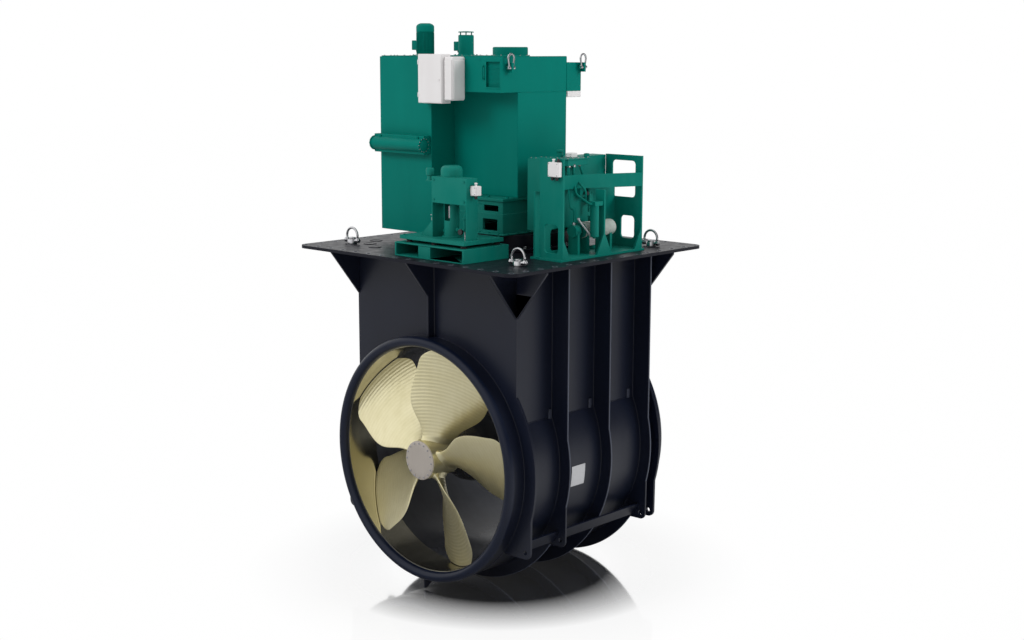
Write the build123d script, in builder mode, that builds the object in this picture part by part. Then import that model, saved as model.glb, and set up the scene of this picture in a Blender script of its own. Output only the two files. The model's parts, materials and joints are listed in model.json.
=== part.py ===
"""Tunnel thruster module for a ship: a bed plate that bolts into a hull well, with the stiffened
tunnel, gear pod and propeller below it and the electric drive, cooler and oil units on top.

Millimetres, +Z up. The origin is the centre of the bed plate's underside. The tunnel lies along Y,
with the propeller at its -Y mouth.
"""

import os
from math import acos, atan2, cos, degrees, hypot, pi, radians, sin, sqrt, tan

from build123d import *

os.makedirs("parts", exist_ok=True)

# General clearances and plate sizes
running_fit = 0.05
seat_gap = 0.3
sheet = 10.0

# Bed plate
bed_length = 2900.0
bed_width = 2780.0
bed_thickness = 30.0
bed_corner_radius = 100.0
bed_opening_radius = 420.0
edge_bolt_radius = 17.0
edge_bolt_inset = 60.0
edge_bolts_along_x = 16
edge_bolts_along_y = 15

# Tunnel, its casing and the trunk that carries it
axis_depth = 1950.0
tunnel_bore_radius = 1100.0
tunnel_wall = 25.0
tunnel_half_length = 1135.0
mouth_outer_radius = 1200.0
mouth_flange_depth = 60.0
casing_radius = 1187.0
casing_wall = 20.0
trunk_half_x = 1080.0
trunk_half_y = 928.0
trunk_wall = 20.0
wear_band_thickness = 3.0
wear_band_start = 20.0
wear_band_width = 350.0

# Frames round the trunk and the tunnel
end_frame_thickness = 25.0
end_ring_radius = 1320.0
web_thickness = 20.0
web_half_width = 1275.0
web_ring_radius = 1310.0
web_stations = (-430.0, 175.0, 780.0)
eared_web_stations = (-430.0, 780.0)
ear_hole_distance = 1383.0
ear_angle = 30.0
ear_lobe_radius = 64.0
ear_hole_radius = 21.0
stringer_thickness = 18.0
stringer_width = 135.0
gusset_margin = 10.0
front_gusset_reach = 360.0
gusset_depth = 467.0
gusset_thickness = 20.0
stiffener_depth = 80.0
fin_size = 110.0

# Propeller
blade_count = 5
blade_tip_radius = 1089.0
hub_radius = 190.0
hub_length = 360.0
blade_station_share = 0.523
hub_cap_thickness = 16.0
root_pitch = 1964.0
tip_pitch = 2861.0
root_pitch_share = 0.3
blade_rake = 48.0
blade_skew = 6.7
blade_phase = 74.1
tip_turning = 80.0
cap_bolt_count = 16
cap_bolt_circle = 168.0

# Gear pod on its strut
shaft_station = 130.0
pod_radius = 330.0
pod_wall = 35.0
pod_front = -640.0
pod_back = 560.0
pod_end_radius = 240.0
strut_chord = 560.0
strut_width = 290.0

# Bevel gears
wheel_teeth = 45
pinion_teeth = 13
wheel_pitch_radius = 265.0
face_width = 80.0
tooth_addendum = 0.65
tooth_dedendum = 0.95
gap_share = 0.54
pressure_angle = 20.0

# Shafts and bearings
propeller_shaft_radius = 90.0
drive_shaft_radius = 60.0
propeller_bearing_radius = 170.0
drive_bearing_radius = 110.0
strut_bore_radius = drive_bearing_radius
bearing_width = 70.0

# Stem flange on the bed plate
stem_flange_radius = 700.0
stem_body_radius = 620.0
stem_height = 160.0
stem_flange_thickness = 35.0
stem_bolt_count = 16
stem_bolt_head = 22.0

# Motor pedestal
pedestal_half_x = 427.0
pedestal_half_y = 550.0
pedestal_height = 350.0
pedestal_ledge_height = 205.0
pedestal_ledge = 14.0

# Drive motor
motor_half_x = 427.0
motor_half_y = 348.0
motor_height = 995.0
motor_wall = 12.0
stator_radius = 320.0
rotor_radius = 200.0
air_gap = 1.5
core_start = 220.0
core_length = 560.0
coupling_radius = 125.0
coupling_length = 90.0

# Air head on the motor
head_height = 330.0
head_front_overhang = 232.0
head_back_overhang = 212.0
head_back_drop = 55.0
top_cover_radius = 172.0
top_cover_height = 92.0

# Cooler beside the motor
cooler_width = 735.0
cooler_half_depth = 660.0
cooler_bottom = 145.0
cooler_top = 1862.0
cooler_wall = 8.0
fan_spacing = 576.0
fan_line = -895.0
fan_shaft_radius = 14.0
header_radius = 72.0
header_height = 1015.0

# Lifting
hoist_inset_x = 324.0
hoist_inset_y = 432.0
bail_radius = 78.0
bail_wire = 12.0
shackle_bow_radius = 39.0
shackle_wire = 11.0
shackle_height = 137.0
lug_thickness = 24.0

# Places worked out from the sizes above
bed_top = bed_thickness
axis_z = -axis_depth
gusset_reach = bed_length / 2 - trunk_half_x - gusset_margin
hoist_x = bed_length / 2 - hoist_inset_x
hoist_y = bed_width / 2 - hoist_inset_y
stem_top = bed_top + stem_height
pedestal_top = stem_top + pedestal_height
motor_top = pedestal_top + motor_height
head_top = motor_top + head_height
motor_front = shaft_station - motor_half_y
motor_back = shaft_station + motor_half_y
head_front = motor_front - head_front_overhang
head_back = motor_back + head_back_overhang
cooler_right = -motor_half_x
cooler_left = cooler_right - cooler_width
cooler_front = shaft_station - cooler_half_depth
cooler_back = shaft_station + cooler_half_depth
hub_front = -tunnel_half_length + hub_cap_thickness
hub_back = hub_front + hub_length
propeller_station = hub_front + hub_length * blade_station_share


def station(y):
    """Upright plane across the tunnel at y, seen from the propeller mouth, centred on x = z = 0."""
    return Plane(origin=(0, y, 0), x_dir=(1, 0, 0), z_dir=(0, -1, 0))


def axis_station(y):
    """The same plane with its origin on the tunnel's axis."""
    return Plane(origin=(0, y, axis_z), x_dir=(1, 0, 0), z_dir=(0, -1, 0))


def save(builder, name):
    """Labels a finished piece and writes it."""
    builder.part.label = name
    export_step(builder.part, "parts/" + name + ".step")


# Bed plate with its edge bolt holes, hoist ring holes and the opening for the drive shaft
edge_pitch_x = (bed_length - 2 * edge_bolt_inset) / (edge_bolts_along_x - 1)
edge_pitch_y = (bed_width - 2 * edge_bolt_inset) / (edge_bolts_along_y - 1)
hoist_stem_radius = 18.0
hoist_places = [(sx * hoist_x, sy * hoist_y) for sy in (-1, 1) for sx in (-1, 1)]

with BuildPart() as bed_plate:
    with BuildSketch():
        RectangleRounded(bed_length, bed_width, bed_corner_radius)
        with GridLocations(edge_pitch_x, bed_width - 2 * edge_bolt_inset, edge_bolts_along_x, 2):
            Circle(edge_bolt_radius, mode=Mode.SUBTRACT)
        with GridLocations(bed_length - 2 * edge_bolt_inset, edge_pitch_y, 2, edge_bolts_along_y - 2):
            Circle(edge_bolt_radius, mode=Mode.SUBTRACT)
        with Locations(*hoist_places):
            Circle(hoist_stem_radius + seat_gap, mode=Mode.SUBTRACT)
        with Locations((0, shaft_station)):
            Circle(bed_opening_radius, mode=Mode.SUBTRACT)
    extrude(amount=bed_thickness)
save(bed_plate, "bed_plate")

# One lifting ear in the plane of a frame: the right-hand one, drawn about the tunnel's axis
ear_x = ear_hole_distance * cos(radians(ear_angle))
ear_z = -ear_hole_distance * sin(radians(ear_angle))
ear_root_angle = 17.0
ear_heel_angle = 38.0

with BuildSketch() as ear:
    with Locations((ear_x, ear_z)):
        Circle(ear_lobe_radius)
    with PolarLocations(end_ring_radius - ear_lobe_radius, 1, start_angle=-ear_root_angle):
        Circle(ear_lobe_radius)
    with PolarLocations(casing_radius + stringer_thickness, 1, start_angle=-ear_heel_angle):
        Circle(stringer_thickness)
    make_hull()
    with Locations((ear_x, ear_z)):
        Circle(ear_hole_radius, mode=Mode.SUBTRACT)
ear_cut = ear_hole_distance * sin(radians(ear_angle)) + 0.85 * ear_lobe_radius


def end_frame(high_y):
    """An end frame that ends at high_y, in two halves: straight sides down to a ring with two ears."""
    with BuildPart() as frame:
        with BuildSketch(station(high_y)):
            Rectangle(2 * trunk_half_x, axis_depth, align=(Align.CENTER, Align.MAX))
            with Locations((0, axis_z)):
                Circle(end_ring_radius)
            with Locations((0, axis_z - ear_cut)):
                Rectangle(3 * end_ring_radius, end_ring_radius, align=(Align.CENTER, Align.MAX),
                          mode=Mode.SUBTRACT)
            with Locations((0, axis_z)):
                add(ear.sketch)
                add(mirror(ear.sketch, about=Plane.YZ, mode=Mode.PRIVATE))
                Circle(casing_radius, mode=Mode.SUBTRACT)
        extrude(amount=end_frame_thickness)
        split(bisect_by=Plane.YZ, keep=Keep.BOTH)
    return frame


front_frame = end_frame(-trunk_half_y + end_frame_thickness)
save(front_frame, "front_frame")
back_frame = end_frame(trunk_half_y)
save(back_frame, "back_frame")

# Side walls of the trunk, which end on the casing
frame_gap = trunk_half_y - end_frame_thickness
with BuildPart() as trunk_side_walls:
    with BuildSketch():
        with GridLocations(2 * trunk_half_x - trunk_wall, 0, 2, 1):
            Rectangle(trunk_wall, 2 * frame_gap)
    extrude(amount=-axis_depth)
    with BuildSketch(axis_station(trunk_half_y)):
        Circle(casing_radius)
    extrude(amount=2 * trunk_half_y, mode=Mode.SUBTRACT)
save(trunk_side_walls, "trunk_side_walls")


with BuildPart() as web_frames:
    for web_y in web_stations:
        with BuildSketch(station(web_y + web_thickness / 2)):
            Rectangle(2 * web_half_width, axis_depth, align=(Align.CENTER, Align.MAX))
            with Locations((0, axis_z)):
                Circle(web_ring_radius)
                if web_y in eared_web_stations:
                    add(ear.sketch)
                    add(mirror(ear.sketch, about=Plane.YZ, mode=Mode.PRIVATE))
                Circle(casing_radius, mode=Mode.SUBTRACT)
            Rectangle(2 * trunk_half_x, axis_depth, align=(Align.CENTER, Align.MAX), mode=Mode.SUBTRACT)
        extrude(amount=web_thickness)
save(web_frames, "web_frames")

# Stringers between the ears, front gussets under the bed plate, centre stiffener and keel fin
stringer_seat = 2.0
stringer_radius = web_ring_radius + stringer_thickness / 2 - stringer_seat
stringer_ends = [-trunk_half_y + end_frame_thickness]
for web_y in eared_web_stations:
    stringer_ends += [web_y - web_thickness / 2, web_y + web_thickness / 2]
stringer_ends.append(trunk_half_y - end_frame_thickness)

with BuildPart() as hull_stiffeners:
    for low, high in zip(stringer_ends[::2], stringer_ends[1::2]):
        with BuildSketch(axis_station(high)):
            for direction in (-ear_angle, 180 + ear_angle):
                with PolarLocations(stringer_radius, 1, start_angle=direction):
                    Rectangle(stringer_thickness, stringer_width)
            Circle(web_ring_radius, mode=Mode.SUBTRACT)
        extrude(amount=high - low)
    for gusset_x in (gusset_thickness / 2 - trunk_half_x, 0, trunk_half_x - gusset_thickness / 2):
        with BuildSketch(Plane.YZ.offset(gusset_x - gusset_thickness / 2)):
            Polygon((-trunk_half_y, 0), (-trunk_half_y - front_gusset_reach, 0),
                    (-trunk_half_y - front_gusset_reach, -gusset_thickness),
                    (-trunk_half_y, -gusset_depth), align=None)
        extrude(amount=gusset_thickness)
    for gusset_y in (-trunk_half_y + end_frame_thickness, trunk_half_y):
        with BuildSketch(station(gusset_y)):
            for side in (-1, 1):
                Polygon((side * trunk_half_x, 0), (side * (trunk_half_x + gusset_reach), 0),
                        (side * (trunk_half_x + gusset_reach), -gusset_thickness),
                        (side * trunk_half_x, -gusset_depth), align=None)
        extrude(amount=end_frame_thickness)
    with BuildSketch(Plane.YZ.offset(-gusset_thickness / 2)):
        with Locations((-trunk_half_y, 0)):
            Rectangle(stiffener_depth, axis_depth - casing_radius, align=(Align.MAX, Align.MAX))
    extrude(amount=gusset_thickness)
    with BuildSketch(Plane.YZ.offset(-gusset_thickness / 2)):
        with Locations((-tunnel_half_length + mouth_flange_depth, axis_z - casing_radius)):
            Polygon((0, 0), (fin_size, 0), (fin_size, -fin_size / 2), (fin_size / 4, -fin_size), (0, -fin_size),
                    align=None)
    extrude(amount=gusset_thickness)
save(hull_stiffeners, "hull_stiffeners")

# Tunnel tube with a rounded lip at each mouth, drawn as half a section and turned round the axis
shaft_tube_radius = 135.0
shaft_tube_wall = 15.0
lip_step = 45
lip_middle = (tunnel_bore_radius + mouth_outer_radius) / 2
lip_reach = (mouth_outer_radius - tunnel_bore_radius) / 2
lip_start = tunnel_half_length - lip_reach
flange_back = tunnel_half_length - mouth_flange_depth
section_plane = Plane(origin=(0, 0, axis_z), x_dir=(0, 1, 0), z_dir=(1, 0, 0))
tunnel_axis = Axis((0, 0, axis_z), (0, 1, 0))

with BuildPart() as tunnel_tube:
    with BuildSketch(section_plane):
        with BuildLine():
            for end in (-1, 1):
                Polyline(*[(end * (lip_start + lip_reach * sin(radians(turn))), lip_middle - lip_reach *
                            cos(radians(turn))) for turn in range(0, 181, lip_step)])
                Polyline((end * lip_start, mouth_outer_radius), (end * flange_back, mouth_outer_radius),
                         (end * flange_back, tunnel_bore_radius + tunnel_wall), (0, tunnel_bore_radius + tunnel_wall))
            Line((-lip_start, tunnel_bore_radius), (lip_start, tunnel_bore_radius))
        make_face()
    revolve(axis=tunnel_axis)
    with Locations((0, shaft_station, axis_z + tunnel_bore_radius)):
        Cylinder(strut_bore_radius, 4 * tunnel_wall, mode=Mode.SUBTRACT)
save(tunnel_tube, "tunnel_tube")

with BuildPart() as outer_casing:
    with BuildSketch(axis_station(flange_back)):
        Circle(casing_radius)
        Circle(casing_radius - casing_wall, mode=Mode.SUBTRACT)
    extrude(amount=2 * flange_back)
    with Locations((0, shaft_station, axis_z + casing_radius)):
        Cylinder(shaft_tube_radius + seat_gap, 6 * casing_wall, mode=Mode.SUBTRACT)
save(outer_casing, "outer_casing")

with BuildPart() as wear_band:
    with BuildSketch(axis_station(-lip_start + wear_band_start + wear_band_width)):
        Circle(tunnel_bore_radius)
        Circle(tunnel_bore_radius - wear_band_thickness, mode=Mode.SUBTRACT)
    extrude(amount=wear_band_width)
save(wear_band, "wear_band")

# Gear pod and strut, cast in one, hollow for the gears and the shafts
pod_shoulder = 160.0
pod_shoulder_radius = pod_end_radius + 0.68 * (pod_radius - pod_end_radius)
cavity_front = pod_front + 170.0
pod_cavity_radius = pod_radius - pod_wall

with BuildPart() as gear_housing:
    with BuildSketch(section_plane):
        with BuildLine():
            Polyline((pod_front, 0), (pod_front, pod_end_radius), (pod_front + pod_shoulder / 2, pod_shoulder_radius),
                     (pod_front + pod_shoulder, pod_radius), (pod_back, pod_radius), (pod_back, 0), (pod_front, 0))
        make_face()
    revolve(axis=tunnel_axis)
    with BuildSketch(Plane.XY.offset(axis_z)):
        with Locations((0, shaft_station)):
            Ellipse(strut_width / 2, strut_chord / 2)
    extrude(amount=tunnel_bore_radius)
    with BuildSketch(axis_station(pod_back)):
        Circle(tunnel_bore_radius)
    extrude(amount=pod_back - pod_front, mode=Mode.INTERSECT)
    with BuildSketch(section_plane):
        with BuildLine():
            Polyline((pod_front, 0), (pod_front, propeller_bearing_radius), (cavity_front, propeller_bearing_radius),
                     (cavity_front, pod_cavity_radius), (pod_back, pod_cavity_radius), (pod_back, 0), (pod_front, 0))
        make_face()
    revolve(axis=tunnel_axis, mode=Mode.SUBTRACT)
    with Locations((0, shaft_station, axis_z)):
        Cylinder(strut_bore_radius, 2 * tunnel_bore_radius, align=(Align.CENTER, Align.CENTER, Align.MIN),
                 mode=Mode.SUBTRACT)
save(gear_housing, "gear_housing")

# Rear cover of the pod, with the boss that holds the rear bearing
boss_reach = 110.0
boss_wall = 22.0
tail_length = 150.0
cover_flange = 22.0
tail_dome = tail_length - cover_flange

with BuildPart() as tail_cover:
    with BuildSketch(section_plane):
        with BuildLine():
            Polyline((pod_back - boss_reach, propeller_bearing_radius),
                     (pod_back - boss_reach, propeller_bearing_radius + boss_wall),
                     (pod_back, propeller_bearing_radius + boss_wall), (pod_back, pod_radius),
                     (pod_back + cover_flange, pod_radius), (pod_back + cover_flange + 0.55 * tail_dome,
                                                             0.8 * pod_radius),
                     (pod_back + tail_length, 0.4 * pod_radius), (pod_back + tail_length, 0),
                     (pod_back + tail_length - boss_wall, 0),
                     (pod_back, propeller_bearing_radius - boss_wall), (pod_back, propeller_bearing_radius),
                     (pod_back - boss_reach, propeller_bearing_radius))
        make_face()
    revolve(axis=tunnel_axis)
save(tail_cover, "tail_cover")

# Front cover that holds the shaft seal
seal_length = pod_front - hub_back - seat_gap
seal_gap = 1.0
with BuildPart() as seal_housing:
    with BuildSketch(section_plane):
        with BuildLine():
            Polyline((pod_front - seal_length, propeller_shaft_radius + seal_gap),
                     (pod_front - seal_length, hub_radius), (pod_front, pod_end_radius),
                     (pod_front, propeller_bearing_radius - seat_gap),
                     (pod_front + 2 * seal_gap, propeller_bearing_radius - seat_gap),
                     (pod_front + 2 * seal_gap, propeller_shaft_radius + seal_gap), close=True)
        make_face()
    revolve(axis=tunnel_axis)
save(seal_housing, "seal_housing")

# Bevel gear geometry: both pitch cones meet at the apex, where the two shafts' lines cross
gear_ratio = wheel_teeth / pinion_teeth
pinion_pitch_radius = wheel_pitch_radius / gear_ratio
cone_distance = hypot(wheel_pitch_radius, pinion_pitch_radius)
gear_module = 2 * wheel_pitch_radius / wheel_teeth
addendum = tooth_addendum * gear_module
dedendum = tooth_dedendum * gear_module
wheel_cone = degrees(atan2(wheel_pitch_radius, pinion_pitch_radius))
pinion_cone = 90 - wheel_cone
inner_share = (cone_distance - face_width) / cone_distance


def cone_point(angle, distance, height):
    """Radius and axial distance of a point at a height above a pitch cone, from the apex."""
    tilt = radians(angle)
    return (distance * sin(tilt) + height * cos(tilt), distance * cos(tilt) - height * sin(tilt))


def gear_profile(angle, bore, back_depth):
    """Half section of a bevel gear's blank about Z, apex at the origin, toothed side towards it."""
    tip = cone_point(angle, cone_distance, addendum)
    toe = cone_point(angle, cone_distance * inner_share, addendum * inner_share)
    toe_root = cone_point(angle, cone_distance * inner_share, -dedendum * inner_share - back_depth / 2)
    heel_root = cone_point(angle, cone_distance, -dedendum)
    back = heel_root[1] + back_depth
    return ((bore, toe_root[1]), toe_root, toe, tip, heel_root, (heel_root[0], back), (bore, back))


def tooth_gap(angle, teeth, share):
    """Section of one tooth gap at a share of the cone distance, square to the pitch cone."""
    tilt = radians(angle)
    plane = Plane(origin=Vector(sin(tilt), 0, cos(tilt)) * (cone_distance * share), x_dir=(0, 1, 0),
                  z_dir=(-sin(tilt), 0, -cos(tilt)))
    half = gap_share * pi * gear_module / 2 * share
    flare = tan(radians(pressure_angle + 90 * cos(tilt) / teeth))
    flank_curve = 2 * cone_distance * share * tan(tilt) * sin(radians(pressure_angle))
    top = 1.6 * addendum * share
    bottom = dedendum * share
    wide = half + top * flare + top ** 2 / flank_curve
    narrow = half - bottom * flare + bottom ** 2 / flank_curve
    with BuildSketch(plane) as section:
        Polygon((narrow, -bottom), (half, 0), (wide, top), (-wide, top), (-half, 0), (-narrow, -bottom), align=None)
    return section.sketch


def gap_cutter(angle, teeth):
    """Solid of one tooth gap, which narrows towards the apex as the teeth do."""
    with BuildPart() as cutter:
        loft([tooth_gap(angle, teeth, 1.08), tooth_gap(angle, teeth, 0.9 * inner_share)], ruled=True)
    return cutter.part


def bevel_gear(angle, teeth, bore, back_depth, first_gap):
    """A bevel gear about Z with its first tooth gap at an angle from X."""
    cutter = gap_cutter(angle, teeth)
    with BuildPart() as gear:
        with BuildSketch(Plane.XZ) as half_section:
            Polygon(*gear_profile(angle, bore, back_depth), align=None)
        revolve(half_section.sketch, axis=Axis.Z)
        for index in range(teeth):
            add(cutter.rotate(Axis.Z, (index + 0.5) * 360 / teeth), mode=Mode.SUBTRACT)
    return gear.part.rotate(Axis.Z, first_gap - 180 / teeth)


# The wheel is built about Z and laid on the tunnel's axis, teeth towards the propeller
wheel_back_depth = 48.0
wheel_bore_radius = 100.0
wheel_seat = Plane(origin=(0, shaft_station, axis_z), x_dir=(1, 0, 0), z_dir=(0, 1, 0))
wheel_about_z = bevel_gear(wheel_cone, wheel_teeth, wheel_bore_radius, wheel_back_depth, -90 + 180 / wheel_teeth)
with BuildPart() as bevel_wheel:
    add(wheel_seat.location * wheel_about_z)
save(bevel_wheel, "bevel_wheel")

pinion_bore_radius = 34.0
pinion_back_depth = 16.0
pinion_about_z = bevel_gear(pinion_cone, pinion_teeth, pinion_bore_radius, pinion_back_depth, 90)
with BuildPart() as bevel_pinion:
    add(Location((0, shaft_station, axis_z)) * pinion_about_z)
save(bevel_pinion, "bevel_pinion")
pinion_toe = cone_point(pinion_cone, cone_distance * inner_share, -dedendum * inner_share - pinion_back_depth / 2)[1]
pinion_top = cone_point(pinion_cone, cone_distance, -dedendum)[1] + pinion_back_depth
wheel_toe = cone_point(wheel_cone, cone_distance * inner_share, -dedendum * inner_share - wheel_back_depth / 2)[1]
wheel_back = cone_point(wheel_cone, cone_distance, -dedendum)[1] + wheel_back_depth

# Propeller shaft, stepped up for the wheel, and its two bearings
front_bearing = pod_front + 90.0
rear_bearing = pod_back - boss_reach / 2
wheel_shoulder = 14.0
with BuildPart() as propeller_shaft:
    with BuildSketch(section_plane):
        with BuildLine():
            Polyline((hub_front + hub_cap_thickness, 0), (hub_front + hub_cap_thickness, propeller_shaft_radius),
                     (shaft_station + wheel_toe, propeller_shaft_radius),
                     (shaft_station + wheel_toe, wheel_bore_radius),
                     (shaft_station + wheel_back, wheel_bore_radius),
                     (shaft_station + wheel_back, wheel_bore_radius + wheel_shoulder),
                     (shaft_station + wheel_back + wheel_shoulder, wheel_bore_radius + wheel_shoulder),
                     (shaft_station + wheel_back + wheel_shoulder, propeller_shaft_radius),
                     (rear_bearing + bearing_width, propeller_shaft_radius), (rear_bearing + bearing_width, 0),
                     close=True)
        make_face()
    revolve(axis=tunnel_axis)
save(propeller_shaft, "propeller_shaft")

# Drive shaft from the pinion up to the coupling
coupling_bottom = stem_top + 60.0
coupling_top = coupling_bottom + 2 * coupling_length
pinion_z = axis_z + pinion_top
with BuildPart() as drive_shaft:
    with BuildSketch(Plane.XZ.offset(-shaft_station)):
        with BuildLine():
            Polyline((0, axis_z + pinion_toe), (pinion_bore_radius, axis_z + pinion_toe),
                     (pinion_bore_radius, pinion_z), (drive_shaft_radius, pinion_z),
                     (drive_shaft_radius, coupling_bottom + coupling_length - seat_gap),
                     (0, coupling_bottom + coupling_length - seat_gap), close=True)
        make_face()
    revolve(axis=Axis((0, shaft_station, 0), (0, 0, 1)))
save(drive_shaft, "drive_shaft")

# Rolling bearings, each as one ring: two on the propeller shaft, two on the drive shaft, two in the motor
pinion_bearing_z = pinion_z + 20.0
stem_bearing_z = bed_top + 40.0
motor_floor = pedestal_top + 20.0
motor_top_bearing_z = motor_top - 90.0
with BuildPart() as rolling_bearings:
    for bearing_y in (front_bearing, rear_bearing):
        with BuildSketch(axis_station(bearing_y + bearing_width / 2)):
            Circle(propeller_bearing_radius)
            Circle(propeller_shaft_radius + running_fit, mode=Mode.SUBTRACT)
        extrude(amount=bearing_width)
    for bearing_z in (pinion_bearing_z, stem_bearing_z, motor_floor, motor_top_bearing_z):
        with BuildSketch(Plane.XY.offset(bearing_z)):
            with Locations((0, shaft_station)):
                Circle(drive_bearing_radius)
                Circle(drive_shaft_radius + running_fit, mode=Mode.SUBTRACT)
        extrude(amount=bearing_width)
save(rolling_bearings, "rolling_bearings")

# Tube that guards the drive shaft between the tunnel and the stem flange
with BuildPart() as shaft_tube:
    with BuildSketch(Plane.XY.offset(bed_top)):
        with Locations((0, shaft_station)):
            Circle(shaft_tube_radius)
            Circle(shaft_tube_radius - shaft_tube_wall, mode=Mode.SUBTRACT)
    extrude(amount=-axis_depth)
    with BuildSketch(axis_station(trunk_half_y)):
        Circle(tunnel_bore_radius + tunnel_wall)
    extrude(amount=2 * trunk_half_y, mode=Mode.SUBTRACT)
    split(bisect_by=Plane.XY.offset(axis_z), keep=Keep.TOP)
save(shaft_tube, "shaft_tube")


# Propeller: blade sections wrapped round cylinders about the axis and lofted, on one hub, tips turned round
section_shares = (0.0, 0.12, 0.5, 0.88, 1.0)
edge_share = 0.16
blade_sections = (
    (0.145, 290.0, 76.0),
    (0.30, 407.0, 60.0),
    (0.50, 701.0, 44.0),
    (0.70, 803.0, 31.0),
    (0.85, 816.0, 22.0),
    (0.95, 764.0, 16.0),
    (0.99, 620.0, 13.0),
    (1.025, 440.0, 9.0),
)


def blade_outline(share, chord, thickness, flat):
    """Closed wire round one section of the blade along X, wrapped round its cylinder or left flat."""
    radius = share * blade_tip_radius
    beyond_root = share - root_pitch_share
    pitch = root_pitch + (tip_pitch - root_pitch) * beyond_root / (1 - root_pitch_share)
    pitch_angle = atan2(pitch, 2 * pi * radius)
    skew = -blade_skew * beyond_root * abs(beyond_root)
    sides = ([], [])
    for chord_share in section_shares:
        along = (chord_share - 0.5) * chord
        half = thickness * (edge_share + (1 - edge_share) * sin(pi * chord_share) ** 0.75) / 2
        for side, height in zip(sides, (half, -half)):
            across = height * sin(pitch_angle) - along * cos(pitch_angle) + radius * radians(skew)
            depth = along * sin(pitch_angle) + height * cos(pitch_angle) + propeller_station + blade_rake * share
            turn = across / radius
            if flat:
                side.append((radius, depth, axis_z + across))
            else:
                side.append((radius * cos(turn), depth, axis_z + radius * sin(turn)))
    return Wire([Edge.make_spline([Vector(*point) for point in sides[0]]), Edge.make_line(sides[0][-1], sides[1][-1]),
                 Edge.make_spline([Vector(*point) for point in reversed(sides[1])]),
                 Edge.make_line(sides[1][0], sides[0][0])])


blade_wires = []
for share, chord, thickness in blade_sections:
    flat_end = share in (blade_sections[0][0], blade_sections[-1][0])
    blade_wires.append(blade_outline(share, chord, thickness, flat_end))
blade = Solid.make_loft(blade_wires)

with BuildPart() as propeller:
    with BuildSketch(axis_station(hub_back)):
        Circle(hub_radius)
    extrude(amount=hub_length)
    for index in range(blade_count):
        add(blade.rotate(tunnel_axis, -blade_phase - index * 360 / blade_count))
    with BuildSketch(axis_station(hub_back + tip_turning)):
        Circle(blade_tip_radius)
    extrude(amount=hub_length + 2 * tip_turning, mode=Mode.INTERSECT)
    with BuildSketch(axis_station(hub_back)):
        Circle(propeller_shaft_radius + running_fit)
    extrude(amount=hub_length, mode=Mode.SUBTRACT)
save(propeller, "propeller")

with BuildPart() as hub_cap:
    with BuildSketch(axis_station(hub_front)):
        Circle(hub_radius)
    extrude(amount=hub_cap_thickness)
    chamfer(hub_cap.faces().sort_by(Axis.Y)[0].edges(), 4)
save(hub_cap, "hub_cap")

cap_bolt_head = 9.0
with BuildPart() as hub_cap_bolts:
    with BuildSketch(axis_station(hub_front - hub_cap_thickness)):
        with PolarLocations(cap_bolt_circle, cap_bolt_count):
            RegularPolygon(cap_bolt_head, 6)
    extrude(amount=cap_bolt_head * 0.7)
save(hub_cap_bolts, "hub_cap_bolts")


def block(x_low, x_high, y_low, y_high, z_low, z_high, mode=Mode.ADD):
    """Adds or cuts a box given by its limits."""
    with Locations(((x_low + x_high) / 2, (y_low + y_high) / 2, (z_low + z_high) / 2)):
        Box(x_high - x_low, y_high - y_low, z_high - z_low, mode=mode)


def drum(x, y, z_low, z_high, radius, mode=Mode.ADD):
    """Adds or cuts an upright cylinder."""
    with Locations((x, y, z_low)):
        Cylinder(radius, z_high - z_low, align=(Align.CENTER, Align.CENTER, Align.MIN), mode=mode)


# Stem flange on the bed plate, which carries the pedestal and the upper shaft bearing
with BuildPart() as stem_flange:
    drum(0, shaft_station, bed_top, bed_top + stem_flange_thickness, stem_flange_radius)
    drum(0, shaft_station, bed_top + stem_flange_thickness, stem_top, stem_body_radius)
    drum(0, shaft_station, bed_top, stem_top, drive_bearing_radius, Mode.SUBTRACT)
save(stem_flange, "stem_flange")

with BuildPart() as stem_flange_bolts:
    with BuildSketch(Plane.XY.offset(bed_top + stem_flange_thickness)):
        with Locations((0, shaft_station)):
            with PolarLocations((stem_flange_radius + stem_body_radius) / 2, stem_bolt_count, start_angle=11.25):
                RegularPolygon(stem_bolt_head, 6)
    extrude(amount=stem_bolt_head * 0.7)
save(stem_flange_bolts, "stem_flange_bolts")

# Motor pedestal: two hollow tiers between a foot flange and a top plate, open at the front and back
pedestal_wall = 20.0
pedestal_foot = 15.0
pedestal_foot_reach = 18.0
pedestal_plate = 30.0
pedestal_window_start = 160.0
pedestal_window_width = 190.0
pedestal_window_low = 40.0
pedestal_window_height = 110.0
pedestal_front = shaft_station - pedestal_half_y
pedestal_back = shaft_station + pedestal_half_y

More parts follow.
